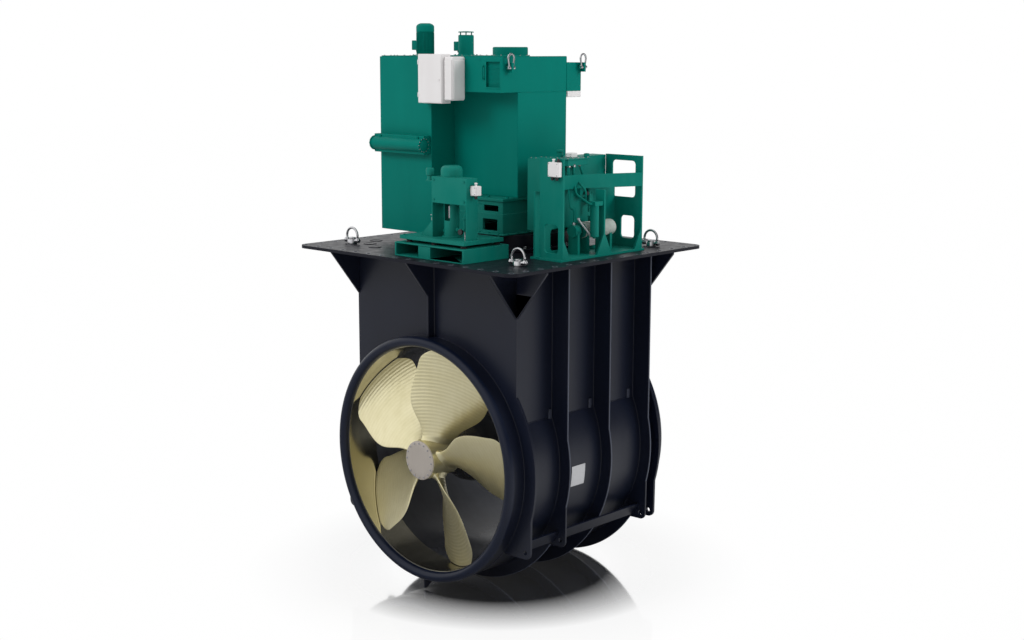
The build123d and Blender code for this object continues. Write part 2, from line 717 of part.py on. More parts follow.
with BuildPart() as motor_pedestal:
    block(-pedestal_half_x, pedestal_half_x + pedestal_foot_reach,
          pedestal_front - pedestal_foot_reach, pedestal_back + pedestal_foot_reach, stem_top, stem_top + pedestal_foot)
    block(-pedestal_half_x, pedestal_half_x, pedestal_front, pedestal_back, stem_top,
          stem_top + pedestal_ledge_height)
    block(-pedestal_half_x + pedestal_ledge, pedestal_half_x - pedestal_ledge, pedestal_front + pedestal_ledge,
          pedestal_back - pedestal_ledge, stem_top + pedestal_ledge_height, pedestal_top - pedestal_plate)
    block(-pedestal_half_x, pedestal_half_x, pedestal_front, pedestal_back, pedestal_top - pedestal_plate,
          pedestal_top)
    inner = pedestal_ledge + pedestal_wall
    block(-pedestal_half_x + inner, pedestal_half_x - inner, pedestal_front + inner, pedestal_back - inner,
          stem_top, pedestal_top - pedestal_plate, Mode.SUBTRACT)
    for window_z, window_height in (
            (stem_top + pedestal_window_low, pedestal_window_height),
            (stem_top + pedestal_ledge_height + pedestal_wall, pedestal_window_height / 2)):
        block(pedestal_window_start, pedestal_window_start + pedestal_window_width, pedestal_front - 1,
              pedestal_back + 1, window_z, window_z + window_height, Mode.SUBTRACT)
    drum(0, shaft_station, stem_top, pedestal_top + 1, coupling_radius + sheet, Mode.SUBTRACT)
save(motor_pedestal, "motor_pedestal")

# Coupling between the drive shaft and the motor shaft
shaft_joint = coupling_bottom + coupling_length
coupling_hub_radius = coupling_radius * 0.76
coupling_flange_depth = coupling_length * 0.45
with BuildPart() as shaft_coupling:
    drum(0, shaft_station, coupling_bottom, coupling_top, coupling_hub_radius)
    drum(0, shaft_station, shaft_joint - coupling_flange_depth, shaft_joint + coupling_flange_depth, coupling_radius)
    drum(0, shaft_station, coupling_bottom, coupling_top, drive_shaft_radius, Mode.SUBTRACT)
save(shaft_coupling, "shaft_coupling")

# Drive motor: housing, end shields, stator and rotor
shaft_hole_radius = drive_bearing_radius + 3 * sheet
duct_height = 150.0
duct_margin = 60.0
lower_duct_z = pedestal_top + 100.0
with BuildPart() as motor_housing:
    block(-motor_half_x, motor_half_x, motor_front, motor_back, pedestal_top, motor_top)
    block(-motor_half_x + motor_wall, motor_half_x - motor_wall, motor_front + motor_wall, motor_back - motor_wall,
          pedestal_top + motor_wall, motor_top + 1, Mode.SUBTRACT)
    drum(0, shaft_station, pedestal_top, pedestal_top + motor_wall, drive_bearing_radius, Mode.SUBTRACT)
    block(-motor_half_x - 1, -motor_half_x + motor_wall + 1, motor_front + duct_margin, motor_back - duct_margin,
          lower_duct_z, lower_duct_z + duct_height, Mode.SUBTRACT)
save(motor_housing, "motor_housing")

shield_plate = 20.0
bearing_boss = drive_bearing_radius + 35.0
inner_half_x = motor_half_x - motor_wall
inner_half_y = motor_half_y - motor_wall
with BuildPart() as motor_end_shields:
    drum(0, shaft_station, pedestal_top + motor_wall, motor_floor + bearing_width, bearing_boss)
    with Locations((0, shaft_station, motor_top_bearing_z + bearing_width - shield_plate / 2)):
        Box(2 * inner_half_x, 2 * inner_half_y, shield_plate)
    drum(0, shaft_station, motor_top_bearing_z, motor_top_bearing_z + bearing_width, bearing_boss)
    drum(0, shaft_station, pedestal_top, motor_top_bearing_z + bearing_width, drive_bearing_radius, Mode.SUBTRACT)
    for side in (-1, 1):
        block(side * inner_half_x * 0.6 - duct_margin, side * inner_half_x * 0.6 + duct_margin,
              shaft_station - inner_half_y * 0.7, shaft_station + inner_half_y * 0.7, motor_top_bearing_z - 1,
              motor_top_bearing_z + bearing_width + 1, Mode.SUBTRACT)
save(motor_end_shields, "motor_end_shields")

core_low = pedestal_top + core_start
core_high = core_low + core_length
winding_overhang = 60.0
winding_wall = 70.0
with BuildPart() as motor_stator:
    with BuildSketch(Plane.XY.offset(core_low)):
        with Locations((0, shaft_station)):
            RectangleRounded(2 * inner_half_y, 2 * inner_half_y, inner_half_y * 0.3)
    extrude(amount=core_length)
    drum(0, shaft_station, core_low - winding_overhang, core_high + winding_overhang,
         rotor_radius + air_gap + winding_wall)
    drum(0, shaft_station, core_low - winding_overhang, core_high + winding_overhang,
         rotor_radius + air_gap, Mode.SUBTRACT)
save(motor_stator, "motor_stator")

with BuildPart() as motor_rotor:
    drum(0, shaft_station, core_low, core_high, rotor_radius)
    drum(0, shaft_station, shaft_joint + seat_gap, motor_top_bearing_z + bearing_width, drive_shaft_radius)
save(motor_rotor, "motor_rotor")

# Air head on the motor, with its overhangs, the window at the front and two lifting lugs
head_wall = 10.0
head_window_start = 240.0
head_window_width = 175.0
head_window_low = 50.0
head_window_height = 235.0
shackle_places = (head_front + 97.0, head_back + 10.0)
lug_reach = 62.0
lug_height = 90.0
lug_top = head_top - head_back_drop
lug_pin_z = lug_top - lug_height / 2
lug_pin_x = motor_half_x + lug_reach - 24.0
shackle_pin_radius = 10.0
bar_sides = 8
head_step = motor_back
head_floor = motor_top

with BuildPart() as head_duct:
    block(-motor_half_x, motor_half_x, head_front, head_step, head_floor, head_top)
    block(-motor_half_x, motor_half_x, head_step, head_back, head_floor, head_top - head_back_drop)
    block(-motor_half_x + head_wall, motor_half_x - head_wall, head_front + head_wall, head_step - head_wall,
          head_floor + head_wall, head_top - head_wall, Mode.SUBTRACT)
    block(-motor_half_x + head_wall, motor_half_x - head_wall, head_step - 2 * head_wall, head_back - head_wall,
          head_floor + head_wall, head_top - head_back_drop - head_wall, Mode.SUBTRACT)
    block(-inner_half_x + duct_margin, inner_half_x - duct_margin, motor_front + duct_margin,
          motor_back - duct_margin, head_floor - 1, head_floor + head_wall + 1, Mode.SUBTRACT)
    block(-motor_half_x - 1, -motor_half_x + head_wall + 1, motor_front + duct_margin, motor_back - duct_margin,
          head_floor + duct_margin, head_floor + duct_margin + duct_height, Mode.SUBTRACT)
    block(head_window_start, head_window_start + head_window_width, head_front - 1, head_front + head_wall + 1,
          head_floor + head_window_low, head_floor + head_window_low + head_window_height, Mode.SUBTRACT)
    drum(0, shaft_station, head_top - head_wall - 1, head_top + 1, top_cover_radius - 4 * sheet, Mode.SUBTRACT)
    for lug_y in shackle_places:
        lug_y = min(lug_y, head_back - lug_thickness / 2)
        block(motor_half_x, motor_half_x + lug_reach, lug_y - lug_thickness / 2, lug_y + lug_thickness / 2,
              lug_top - lug_height, lug_top)
        with BuildSketch(station(lug_y + lug_thickness / 2)):
            with Locations((lug_pin_x, lug_pin_z)):
                Circle(shackle_pin_radius + running_fit)
        extrude(amount=lug_thickness, mode=Mode.SUBTRACT)
save(head_duct, "head_duct")

with BuildPart() as top_cover:
    drum(0, shaft_station, head_top, head_top + top_cover_height, top_cover_radius)
    chamfer(top_cover.faces().sort_by(Axis.Z)[-1].edges(), sheet)
    drum(0, shaft_station, head_top, head_top + sheet, top_cover_radius + 2 * sheet)
    drum(0, shaft_station, head_top - 1, head_top + top_cover_height - sheet, top_cover_radius - sheet,
         Mode.SUBTRACT)
save(top_cover, "top_cover")


def shackle(lug_y):
    """A bow shackle on its pin through a lug: the pin, two legs beside the lug and the bow above."""
    leg_y = (lug_thickness + 2 * shackle_wire) / 2 + seat_gap
    bow_centre = shackle_height - shackle_wire - shackle_bow_radius
    bow_start = degrees(acos(shackle_bow_radius / hypot(leg_y, bow_centre)) - atan2(bow_centre, leg_y))
    bow_x = shackle_bow_radius * cos(radians(bow_start))
    bow_z = bow_centre + shackle_bow_radius * sin(radians(bow_start))
    bow_plane = Plane(origin=(lug_pin_x, lug_y, lug_pin_z), x_dir=(0, 1, 0), z_dir=(1, 0, 0))
    with BuildPart() as bow:
        with BuildLine(bow_plane) as path:
            Line((leg_y, 0), (bow_x, bow_z))
            CenterArc((0, bow_centre), shackle_bow_radius, bow_start, 180 - 2 * bow_start)
            Line((-bow_x, bow_z), (-leg_y, 0))
        with BuildSketch(Plane(origin=path.line @ 0, z_dir=path.line % 0)) as wire_section:
            RegularPolygon(shackle_wire, bar_sides)
        sweep(wire_section.sketch, path=path.line)
        with BuildSketch(station(lug_y + leg_y + shackle_wire)) as eyes:
            with Locations((lug_pin_x, lug_pin_z)):
                Circle(2 * shackle_pin_radius)
        extrude(eyes.sketch, amount=2 * shackle_wire)
        extrude(eyes.sketch.moved(Location((0, -2 * leg_y, 0))), amount=2 * shackle_wire)
        with BuildSketch(station(lug_y + leg_y + 2 * shackle_wire)) as pin:
            with Locations((lug_pin_x, lug_pin_z)):
                Circle(shackle_pin_radius)
        extrude(pin.sketch, amount=2 * leg_y + 4 * shackle_wire)
    return bow


shackle_1 = shackle(shackle_places[0])
save(shackle_1, "shackle_1")
shackle_2 = shackle(min(shackle_places[1], head_back - lug_thickness / 2))
save(shackle_2, "shackle_2")

# Cooler beside the motor: housing, finned core, header, two fans and their motors
fan_places = [(fan_line, shaft_station + side * fan_spacing / 2) for side in (-1, 1)]
core_height = 380.0
core_middle = header_height
fin_count = 12
fin_thickness = 5.0
tube_sheet = 12.0
impeller_radius = 175.0
impeller_depth = 90.0
fan_clearance = 40.0
cooler_floor = stem_top + sheet

with BuildPart() as cooler_housing:
    block(cooler_left, cooler_right, cooler_front, cooler_back, cooler_bottom, cooler_top)
    block(cooler_left + cooler_wall, cooler_right - cooler_wall, cooler_front + cooler_wall,
          cooler_back - cooler_wall, cooler_floor + cooler_wall, cooler_top - cooler_wall, Mode.SUBTRACT)
    block(cooler_left + cooler_wall, cooler_right + 1, cooler_front + cooler_wall, cooler_back - cooler_wall,
          cooler_bottom - 1, cooler_floor, Mode.SUBTRACT)
    block(cooler_right - cooler_wall - 1, cooler_right + 1, motor_front + duct_margin, motor_back - duct_margin,
          head_floor + duct_margin, head_floor + duct_margin + duct_height, Mode.SUBTRACT)
    block(cooler_right - cooler_wall - 1, cooler_right + 1, motor_front + duct_margin, motor_back - duct_margin,
          lower_duct_z, lower_duct_z + duct_height, Mode.SUBTRACT)
    for fan_x, fan_y in fan_places:
        drum(fan_x, fan_y, cooler_top - cooler_wall - 1, cooler_top + 1, fan_shaft_radius + sheet, Mode.SUBTRACT)
save(cooler_housing, "cooler_housing")

core_low_z = core_middle - core_height / 2
core_left = cooler_left + cooler_wall
core_right = cooler_right - cooler_wall
fin_pitch = (core_right - core_left - 2 * tube_sheet) / (fin_count + 1)
with BuildPart() as cooler_core:
    for sheet_y in (cooler_front + cooler_wall, cooler_back - cooler_wall - tube_sheet):
        block(core_left, core_right, sheet_y, sheet_y + tube_sheet, core_low_z, core_low_z + core_height)
    for index in range(fin_count):
        fin_x = core_left + tube_sheet + (index + 1) * fin_pitch
        block(fin_x - fin_thickness / 2, fin_x + fin_thickness / 2, cooler_front + cooler_wall,
              cooler_back - cooler_wall, core_low_z, core_low_z + core_height)
save(cooler_core, "cooler_core")

header_length_gap = 6.0
header_body_height = 180.0
header_body_depth = 90.0
header_pipe_radius = header_radius - 10.0
header_flange = 16.0
header_y = cooler_front - header_body_depth
header_left = cooler_left + header_length_gap
header_right = cooler_right - 2 * header_length_gap
with BuildPart() as water_header:
    block(header_left, header_right, header_y, cooler_front, header_height - header_body_height / 2,
          header_height + header_body_height / 2)
    with BuildSketch(Plane.YZ.offset(header_left)):
        with Locations((header_y, header_height)):
            Circle(header_pipe_radius)
    extrude(amount=header_right - header_left)
    for flange_x in (header_left, header_right - header_flange):
        with BuildSketch(Plane.YZ.offset(flange_x)):
            with Locations((header_y, header_height)):
                Circle(header_radius)
        extrude(amount=header_flange)
save(water_header, "water_header")

fan_flange = 12.0
fan_motor_radii = (90.0, 80.0)
fan_motor_heights = (250.0, 215.0)
fan_cowl_height = 75.0
fan_cowl_top = 48.0
fan_canopy_gap = 24.0
fan_canopy = 10.0
fan_canopy_post = 6.0
fan_box_reach = 60.0
fan_box_height = 95.0
with BuildPart() as fan_motors:
    for (fan_x, fan_y), radius, height in zip(fan_places, fan_motor_radii, fan_motor_heights):
        drum(fan_x, fan_y, cooler_top, cooler_top + fan_flange, radius + 4 * fan_flange)
        drum(fan_x, fan_y, cooler_top, cooler_top + height, radius)
        block(fan_x - radius - fan_box_reach, fan_x - radius * 0.8, fan_y - radius * 0.5, fan_y + radius * 0.5,
              cooler_top + height * 0.25, cooler_top + height * 0.25 + fan_box_height)
    first_x, first_y = fan_places[0]
    cowl_low = cooler_top + fan_motor_heights[0]
    with Locations((first_x, first_y, cowl_low)):
        Cylinder(fan_motor_radii[0], fan_cowl_height / 2, align=(Align.CENTER, Align.CENTER, Align.MIN))
    with Locations((first_x, first_y, cowl_low + fan_cowl_height / 2)):
        Cone(fan_motor_radii[0], fan_cowl_top, fan_cowl_height / 2, align=(Align.CENTER, Align.CENTER, Align.MIN))
    second_x, second_y = fan_places[1]
    canopy_low = cooler_top + fan_motor_heights[1] + fan_canopy_gap
    for post_turn in range(4):
        post_angle = radians(45 + 90 * post_turn)
        drum(second_x + fan_motor_radii[1] * 0.7 * cos(post_angle), second_y + fan_motor_radii[1] * 0.7 *
             sin(post_angle), cooler_top + fan_motor_heights[1], canopy_low, fan_canopy_post)
    drum(second_x, second_y, canopy_low, canopy_low + fan_canopy, fan_motor_radii[1])
    for fan_x, fan_y in fan_places:
        drum(fan_x, fan_y, cooler_top, cooler_top + min(fan_motor_heights) / 2, fan_shaft_radius + running_fit,
             Mode.SUBTRACT)
save(fan_motors, "fan_motors")


def fan_wheel(place):
    """An impeller with eight straight vanes under the cooler's roof, on a shaft up into its motor."""
    fan_x, fan_y = place
    wheel_top = cooler_top - cooler_wall - fan_clearance
    with BuildPart() as wheel:
        drum(fan_x, fan_y, wheel_top - impeller_depth, cooler_top + min(fan_motor_heights) / 2 - 5, fan_shaft_radius)
        drum(fan_x, fan_y, wheel_top - sheet / 2, wheel_top, impeller_radius)
        drum(fan_x, fan_y, wheel_top - impeller_depth, wheel_top, 2.5 * fan_shaft_radius)
        with BuildSketch(Plane.XY.offset(wheel_top - impeller_depth)) as vanes:
            with Locations((fan_x, fan_y)):
                with PolarLocations(impeller_radius * 0.55, 8):
                    Rectangle(impeller_radius * 0.8, fin_thickness, rotation=30)
        extrude(vanes.sketch, amount=impeller_depth)
    return wheel


fan_wheel_1 = fan_wheel(fan_places[0])
save(fan_wheel_1, "fan_wheel_1")
fan_wheel_2 = fan_wheel(fan_places[1])
save(fan_wheel_2, "fan_wheel_2")

# Electric boxes
cabinet_left = -483.0
cabinet_right = -157.0
cabinet_depth = 120.0
cabinet_low = 1424.0
cabinet_high = 1889.0
cabinet_rail = 30.0
cabinet_front = cooler_front - cabinet_depth
with BuildPart() as control_cabinet:
    block(cabinet_left, cabinet_right, cabinet_front, cooler_front, cabinet_low, cabinet_high)
    fillet(control_cabinet.edges().filter_by(Axis.Y), 6)
    for rail_z in (head_floor + cabinet_rail, head_top - 3 * cabinet_rail):
        block(-motor_half_x, cabinet_right - cabinet_rail, cooler_front, head_front, rail_z, rail_z + cabinet_rail)
save(control_cabinet, "control_cabinet")

terminal_width = 108.0
terminal_depth = 170.0
terminal_left = cabinet_right + 5.0
with BuildPart() as terminal_box:
    block(terminal_left, terminal_left + terminal_width, head_front - terminal_depth, head_front,
          cabinet_low + cabinet_rail, head_top)
    fillet(terminal_box.edges().filter_by(Axis.X), 2 * sheet)
save(terminal_box, "terminal_box")

# Pump unit: an open channel frame, rubber mounts, a plate with a portal, and an upright pump set
unit_left = -195.0
unit_right = 720.0
unit_front = -1240.0
unit_back = -650.0
unit_frame_height = 130.0
unit_frame_sheet = 12.0
unit_post = 22.0
unit_block_start = 123.0
unit_block_width = 160.0
mount_radius = 28.0
mount_height = 30.0
mount_inset = 80.0
unit_plate_inset = 35.0
unit_plate_thickness = 35.0
portal_left = 175.0
portal_width = 452.0
portal_front = -1110.0
portal_depth = 144.0
portal_height = 560.0
portal_opening = 320.0
portal_sheet = 10.0
portal_foot = 150.0
breather_x = 82.0
breather_y = -1040.0
breather_radius = 24.0
breather_drop = 45.0
upright_motor_radius = 92.0
upright_motor_height = 330.0
upright_shaft_radius = 14.0
upright_x = 330.0
pump_radius = 70.0
pump_height = 150.0
upright_clearance = 3.0

unit_frame_top = bed_top + unit_frame_height
unit_plate_low = unit_frame_top + mount_height
unit_plate_top = unit_plate_low + unit_plate_thickness
portal_top = unit_plate_top + portal_height
portal_right = portal_left + portal_width
portal_back = portal_front + portal_depth

with BuildPart() as pump_unit_skid:
    block(unit_left, unit_right, unit_front, unit_back, bed_top, bed_top + unit_frame_sheet)
    block(unit_left, unit_right, unit_front, unit_back, unit_frame_top - unit_frame_sheet, unit_frame_top)
    block(unit_left, unit_left + unit_post, unit_front, unit_back, bed_top, unit_frame_top)
    block(unit_right - unit_post, unit_right, unit_front, unit_back, bed_top, unit_frame_top)
    block(unit_block_start, unit_block_start + unit_block_width, unit_front + 2, unit_back, bed_top,
          unit_frame_top)
save(pump_unit_skid, "pump_unit_skid")

with BuildPart() as vibration_mounts:
    for mount_y in (unit_front + mount_inset, unit_back - mount_inset):
        for mount_x in (unit_left + 1.5 * mount_inset, (unit_left + unit_right) / 2, unit_right - mount_inset):
            drum(mount_x, mount_y, unit_frame_top, unit_plate_low, mount_radius)
save(vibration_mounts, "vibration_mounts")

upright_y = portal_back - upright_motor_radius * 0.4
upright_floor = unit_plate_top + portal_opening
with BuildPart() as pump_unit_frame:
    block(unit_left + unit_plate_inset, unit_right - unit_plate_inset, unit_front + unit_plate_inset,
          unit_back - unit_plate_inset, unit_plate_low, unit_plate_top)
    for side_x in (portal_left, portal_right - portal_sheet):
        block(side_x, side_x + portal_sheet, portal_front, portal_back, unit_plate_top, portal_top)
    block(portal_left, portal_right, portal_front, portal_front + portal_sheet, upright_floor, portal_top)
    block(portal_left, portal_right, portal_front, portal_back, portal_top - portal_sheet, portal_top)
    block(portal_left, portal_right, portal_front, upright_y + upright_motor_radius + sheet,
          upright_floor, upright_floor + portal_sheet)
    block(breather_x - 1.5 * breather_radius, portal_left, breather_y - breather_radius, breather_y +
          breather_radius, portal_top - breather_drop - portal_sheet, portal_top - breather_drop)
    drum(breather_x, breather_y, portal_top - breather_drop, portal_top, breather_radius)
    with BuildSketch(station(portal_front + portal_sheet)):
        Polygon((portal_left, unit_plate_top), (portal_left - portal_foot, unit_plate_top),
                (portal_left, unit_plate_top + portal_foot), align=None)
    extrude(amount=portal_sheet)
    drum(upright_x, upright_y, upright_floor + portal_sheet, portal_top + 1, upright_motor_radius + upright_clearance,
         Mode.SUBTRACT)
    drum(upright_x, upright_y, upright_floor - 1, upright_floor + portal_sheet + 1, 2 * upright_shaft_radius,
         Mode.SUBTRACT)
save(pump_unit_frame, "pump_unit_frame")

# The motor stands on the portal's floor, and the pump hangs on a lantern below it
upright_base = upright_floor + portal_sheet
lantern_height = portal_opening - pump_height
pump_top = upright_floor - lantern_height
lantern_wall = 8.0
with BuildPart() as pump_unit_motor:
    drum(upright_x, upright_y, upright_base, upright_base + upright_motor_height, upright_motor_radius)
    chamfer(pump_unit_motor.faces().sort_by(Axis.Z)[-1].edges(), 2 * sheet)
    drum(upright_x, upright_y, pump_top, upright_floor, pump_radius)
    drum(upright_x, upright_y, pump_top, upright_floor, pump_radius - lantern_wall, Mode.SUBTRACT)
    block(upright_x - pump_radius / 2, upright_x + pump_radius / 2, upright_y - pump_radius - 1,
          upright_y + pump_radius + 1, pump_top + lantern_wall, upright_floor - lantern_wall, Mode.SUBTRACT)
    drum(upright_x, upright_y, unit_plate_top, pump_top, pump_radius)
    drum(upright_x, upright_y, pump_top - pump_height / 2, upright_base + upright_motor_height / 2,
         upright_shaft_radius + running_fit, Mode.SUBTRACT)
save(pump_unit_motor, "pump_unit_motor")

pump_coupling_radius = 38.0
pump_coupling_gap = 30.0
with BuildPart() as pump_unit_rotor:
    drum(upright_x, upright_y, pump_top - pump_height / 2 + 5, upright_base + upright_motor_height / 2 - 5,
         upright_shaft_radius)
    drum(upright_x, upright_y, pump_top + pump_coupling_gap, upright_floor - pump_coupling_gap,
         pump_coupling_radius)
save(pump_unit_rotor, "pump_unit_rotor")

# Oil power pack: a welded frame of plates, a tank, and a lying pump set
pack_left = 880.0
pack_right = 1260.0
pack_front = -530.0
pack_back = 680.0
pack_base = 20.0
pack_plate = 20.0
pack_front_station = -510.0
pack_front_left = 975.0
pack_front_height = 915.0
pack_arch_height = 265.0
pack_arch_low = 50.0
pack_arch_width = 170.0
pack_arch_corner = 40.0
web_arch_low = 30.0
web_arch_height = 207.0
web_arch_length = 380.0
pack_rib_station = 84.0
pack_rib_height = 600.0
pack_rib_width = 105.0
pack_end_station = 640.0
pack_end_left = 800.0
pack_end_height = 887.0
pack_window_low = 483.0
pack_window_height = 352.0
pack_window_width = 290.0
pack_slot_width = 170.0
pack_slot_low = 85.0
pack_slot_height = 220.0
pack_web_x = 900.0
pack_gusset = 95.0
guard_height = 130.0
guard_low = 600.0
guard_sheet = 12.0
guard_start_x = 950.0
guard_start_y = -147.0
guard_knee_y = 94.0
pack_base_top = bed_top + pack_base
pack_edge = pack_right - sheet

with BuildPart() as power_pack_frame:
    block(pack_left, pack_right, pack_front, pack_back, bed_top, pack_base_top)
    with BuildSketch(station(pack_front_station + pack_plate)):
        with Locations((pack_front_left, pack_base_top)):
            Rectangle(pack_right - pack_front_left, pack_front_height, align=(Align.MIN, Align.MIN))
        with Locations(((pack_front_left + pack_right) / 2, pack_base_top + pack_arch_low + pack_arch_height / 2)):
            RectangleRounded(pack_arch_width, pack_arch_height, pack_arch_corner, mode=Mode.SUBTRACT)
    extrude(amount=pack_plate)
    block(pack_edge - pack_rib_width, pack_edge, pack_rib_station, pack_rib_station + pack_plate, pack_base_top,
          pack_base_top + pack_rib_height)
    with BuildSketch(station(pack_end_station + pack_plate)):
        with Locations((pack_end_left, bed_top)):
            Rectangle(pack_edge - pack_end_left, pack_end_height + pack_base, align=(Align.MIN, Align.MIN))
        middle_x = (pack_end_left + pack_edge) / 2
        with Locations((middle_x, pack_base_top + pack_window_low + pack_window_height / 2)):
            RectangleRounded(pack_window_width, pack_window_height, pack_arch_corner, mode=Mode.SUBTRACT)
        with Locations((pack_edge - pack_slot_width, pack_base_top + pack_slot_low + pack_slot_height / 2)):
            RectangleRounded(pack_slot_width, pack_slot_height, pack_arch_corner, mode=Mode.SUBTRACT)
    extrude(amount=pack_plate)
    with BuildSketch(Plane.YZ.offset(pack_web_x)):
        with Locations((pack_front_station, pack_base_top)):
            Rectangle(pack_end_station - pack_front_station, pack_rib_height, align=(Align.MIN, Align.MIN))
        for arch_y in (pack_rib_station - web_arch_length / 2, pack_end_station - 0.75 * web_arch_length):
            with Locations((arch_y, pack_base_top + web_arch_low + web_arch_height / 2)):
                RectangleRounded(web_arch_length, web_arch_height, pack_arch_corner, mode=Mode.SUBTRACT)
    extrude(amount=pack_plate)
    for foot_y, way in ((pack_front_station + pack_plate, 1), (pack_rib_station, -1),
                        (pack_rib_station + pack_plate, 1), (pack_end_station, -1)):
        with BuildSketch(Plane.YZ.offset(pack_edge - pack_plate)):
            Polygon((foot_y, pack_base_top), (foot_y + way * pack_gusset, pack_base_top),
                    (foot_y, pack_base_top + 2 * pack_gusset), align=None)
        extrude(amount=pack_plate)
    with BuildSketch(Plane.XY.offset(pack_base_top + guard_low)):
        with BuildLine():
            Polyline((pack_front_left + sheet, pack_front_station + pack_plate),
                     (pack_front_left + sheet, guard_knee_y / 2), (pack_edge, pack_end_station),
                     (pack_edge - guard_sheet, pack_end_station),
                     (pack_front_left + sheet - guard_sheet, guard_knee_y / 2),
                     (pack_front_left + sheet - guard_sheet, pack_front_station + pack_plate), close=True)
        make_face()
    extrude(amount=guard_height)
save(power_pack_frame, "power_pack_frame")

tank_left = 629.0
tank_right = 800.0
tank_front = -300.0
tank_low = 225.0
tank_height = 675.0
tank_leg = 40.0
tank_wall = 6.0
manifold_front = -90.0
manifold_length = 290.0
manifold_width = 150.0
manifold_height = 55.0
manifold_lid = 12.0
manifold_lid_reach = 10.0
filler_radius = 30.0
filler_height = 45.0
tank_floor = bed_top + tank_low
tank_top = tank_floor + tank_height
with BuildPart() as power_pack_tank:
    block(tank_left, tank_right, tank_front, pack_end_station, tank_floor, tank_top)
    for leg_y in (tank_front, pack_end_station - tank_leg):
        block(stem_flange_radius + sheet, tank_right, leg_y, leg_y + tank_leg, bed_top, tank_floor)
    block(tank_right, tank_right + manifold_width, manifold_front, manifold_front + manifold_length,
          tank_top - manifold_height - manifold_lid, tank_top - manifold_lid)
    block(tank_right, tank_right + manifold_width + manifold_lid_reach, manifold_front - manifold_lid_reach,
          manifold_front + manifold_length + manifold_lid_reach, tank_top - manifold_lid, tank_top)
    drum(tank_right - 2 * filler_radius, manifold_front + 4 * filler_radius, tank_top, tank_top + filler_height,
         filler_radius)
    block(tank_left + tank_wall, tank_right - tank_wall, tank_front + tank_wall, pack_end_station - tank_wall,
          tank_floor + tank_wall, tank_top - tank_wall, Mode.SUBTRACT)
save(power_pack_tank, "power_pack_tank")

lying_x = 1055.0
lying_height = 215.0
lying_radius = 72.0
lying_front = -20.0
lying_length = 420.0
lying_shaft_radius = 14.0
lying_foot = 30.0
pack_pump_radius = 58.0
pack_pump_length = 70.0
pack_pump_space = 60.0
filter_x = 1200.0
filter_y = 5.0
filter_radius = 40.0
filter_low = 215.0
filter_high = 505.0
filter_head = 40.0
lying_z = pack_base_top + lying_height
lying_back = lying_front + lying_length
pack_pump_back = lying_front - pack_pump_space
pack_pump_front = pack_pump_back - pack_pump_length
pack_shaft_front = pack_pump_front + pack_pump_length / 2
pack_shaft_back = lying_front + lying_length / 2
shaft_end_play = 5.0


def lying_drum(y_low, y_high, radius, mode=Mode.ADD):
    """Adds or cuts a lying cylinder on the pump set's line."""
    with BuildSketch(station(y_high)) as section:
        with Locations((lying_x, lying_z)):
            Circle(radius)
    extrude(section.sketch, amount=y_high - y_low, mode=mode)


with BuildPart() as power_pack_drive:
    lying_drum(lying_front, lying_back, lying_radius)
    lying_drum(pack_pump_front, pack_pump_back, pack_pump_radius)
    for foot_y in (lying_front + lying_foot, lying_back - 2 * lying_foot,
                   pack_pump_front + (pack_pump_length - lying_foot) / 2):
        block(lying_x - pack_pump_radius, lying_x + pack_pump_radius, foot_y, foot_y + lying_foot, pack_base_top,
              lying_z - pack_pump_radius / 3)
    lying_drum(pack_shaft_front, pack_shaft_back, lying_shaft_radius + running_fit, Mode.SUBTRACT)
    drum(filter_x, filter_y, filter_low, filter_high, filter_radius)
    block(filter_x - filter_radius, filter_x + filter_radius, filter_y - filter_radius, pack_rib_station,
          filter_high, filter_high + filter_head)
save(power_pack_drive, "power_pack_drive")

pack_coupling_radius = 40.0
pack_coupling_gap = 10.0
with BuildPart() as power_pack_rotor:
    lying_drum(pack_shaft_front + shaft_end_play, pack_shaft_back - shaft_end_play, lying_shaft_radius)
    lying_drum(pack_pump_back + pack_coupling_gap, lying_front - pack_coupling_gap, pack_coupling_radius)
save(power_pack_rotor, "power_pack_rotor")

# Small junction boxes on the head, the pump unit and the power pack
box_depth = 75.0
box_width = 110.0
small_box_height = 60.0
portal_box_front = 50.0
portal_box_depth = 70.0
portal_box_low = 632.0
portal_box_height = 88.0
pack_box_left = 1118.0
pack_box_width = 127.0
pack_box_depth = 50.0
pack_box_low = 803.0
pack_box_height = 133.0
tank_box_front = 45.0
tank_box_size = 80.0
tank_box_height = 45.0
with BuildPart() as junction_boxes:
    block(motor_half_x - box_width, motor_half_x, motor_back + sheet, head_back, motor_top - small_box_height,
          motor_top)
    block(portal_right, portal_right + box_depth, portal_front + portal_box_front,
          portal_front + portal_box_front + portal_box_depth, portal_box_low, portal_box_low + portal_box_height)
    block(pack_box_left, pack_box_left + pack_box_width, pack_front_station - pack_box_depth, pack_front_station,
          pack_box_low, pack_box_low + pack_box_height)
    block(tank_right, tank_right + tank_box_size, tank_box_front, tank_box_front + tank_box_size, tank_top,
          tank_top + tank_box_height)
save(junction_boxes, "junction_boxes")

# Hoist rings at the four corners: a bolt through the bed plate, a swivel body and a bail
bolt_flange_radius = 36.0
bolt_head_height = 20.0
nut_radius = 29.0
nut_height = 25.0
body_radius = 48.0
body_height = 45.0
pivot_height = 35.0
pivot_radius = 9.0
eye_radius = 19.0
eye_width = 16.0
bail_rise = 45.0
body_low = bed_top + seat_gap
body_top = body_low + body_height
pivot_z = bed_top + pivot_height
eye_reach = sqrt(bail_radius ** 2 - bail_rise ** 2)
pin_reach = eye_reach + eye_width / 2 + seat_gap

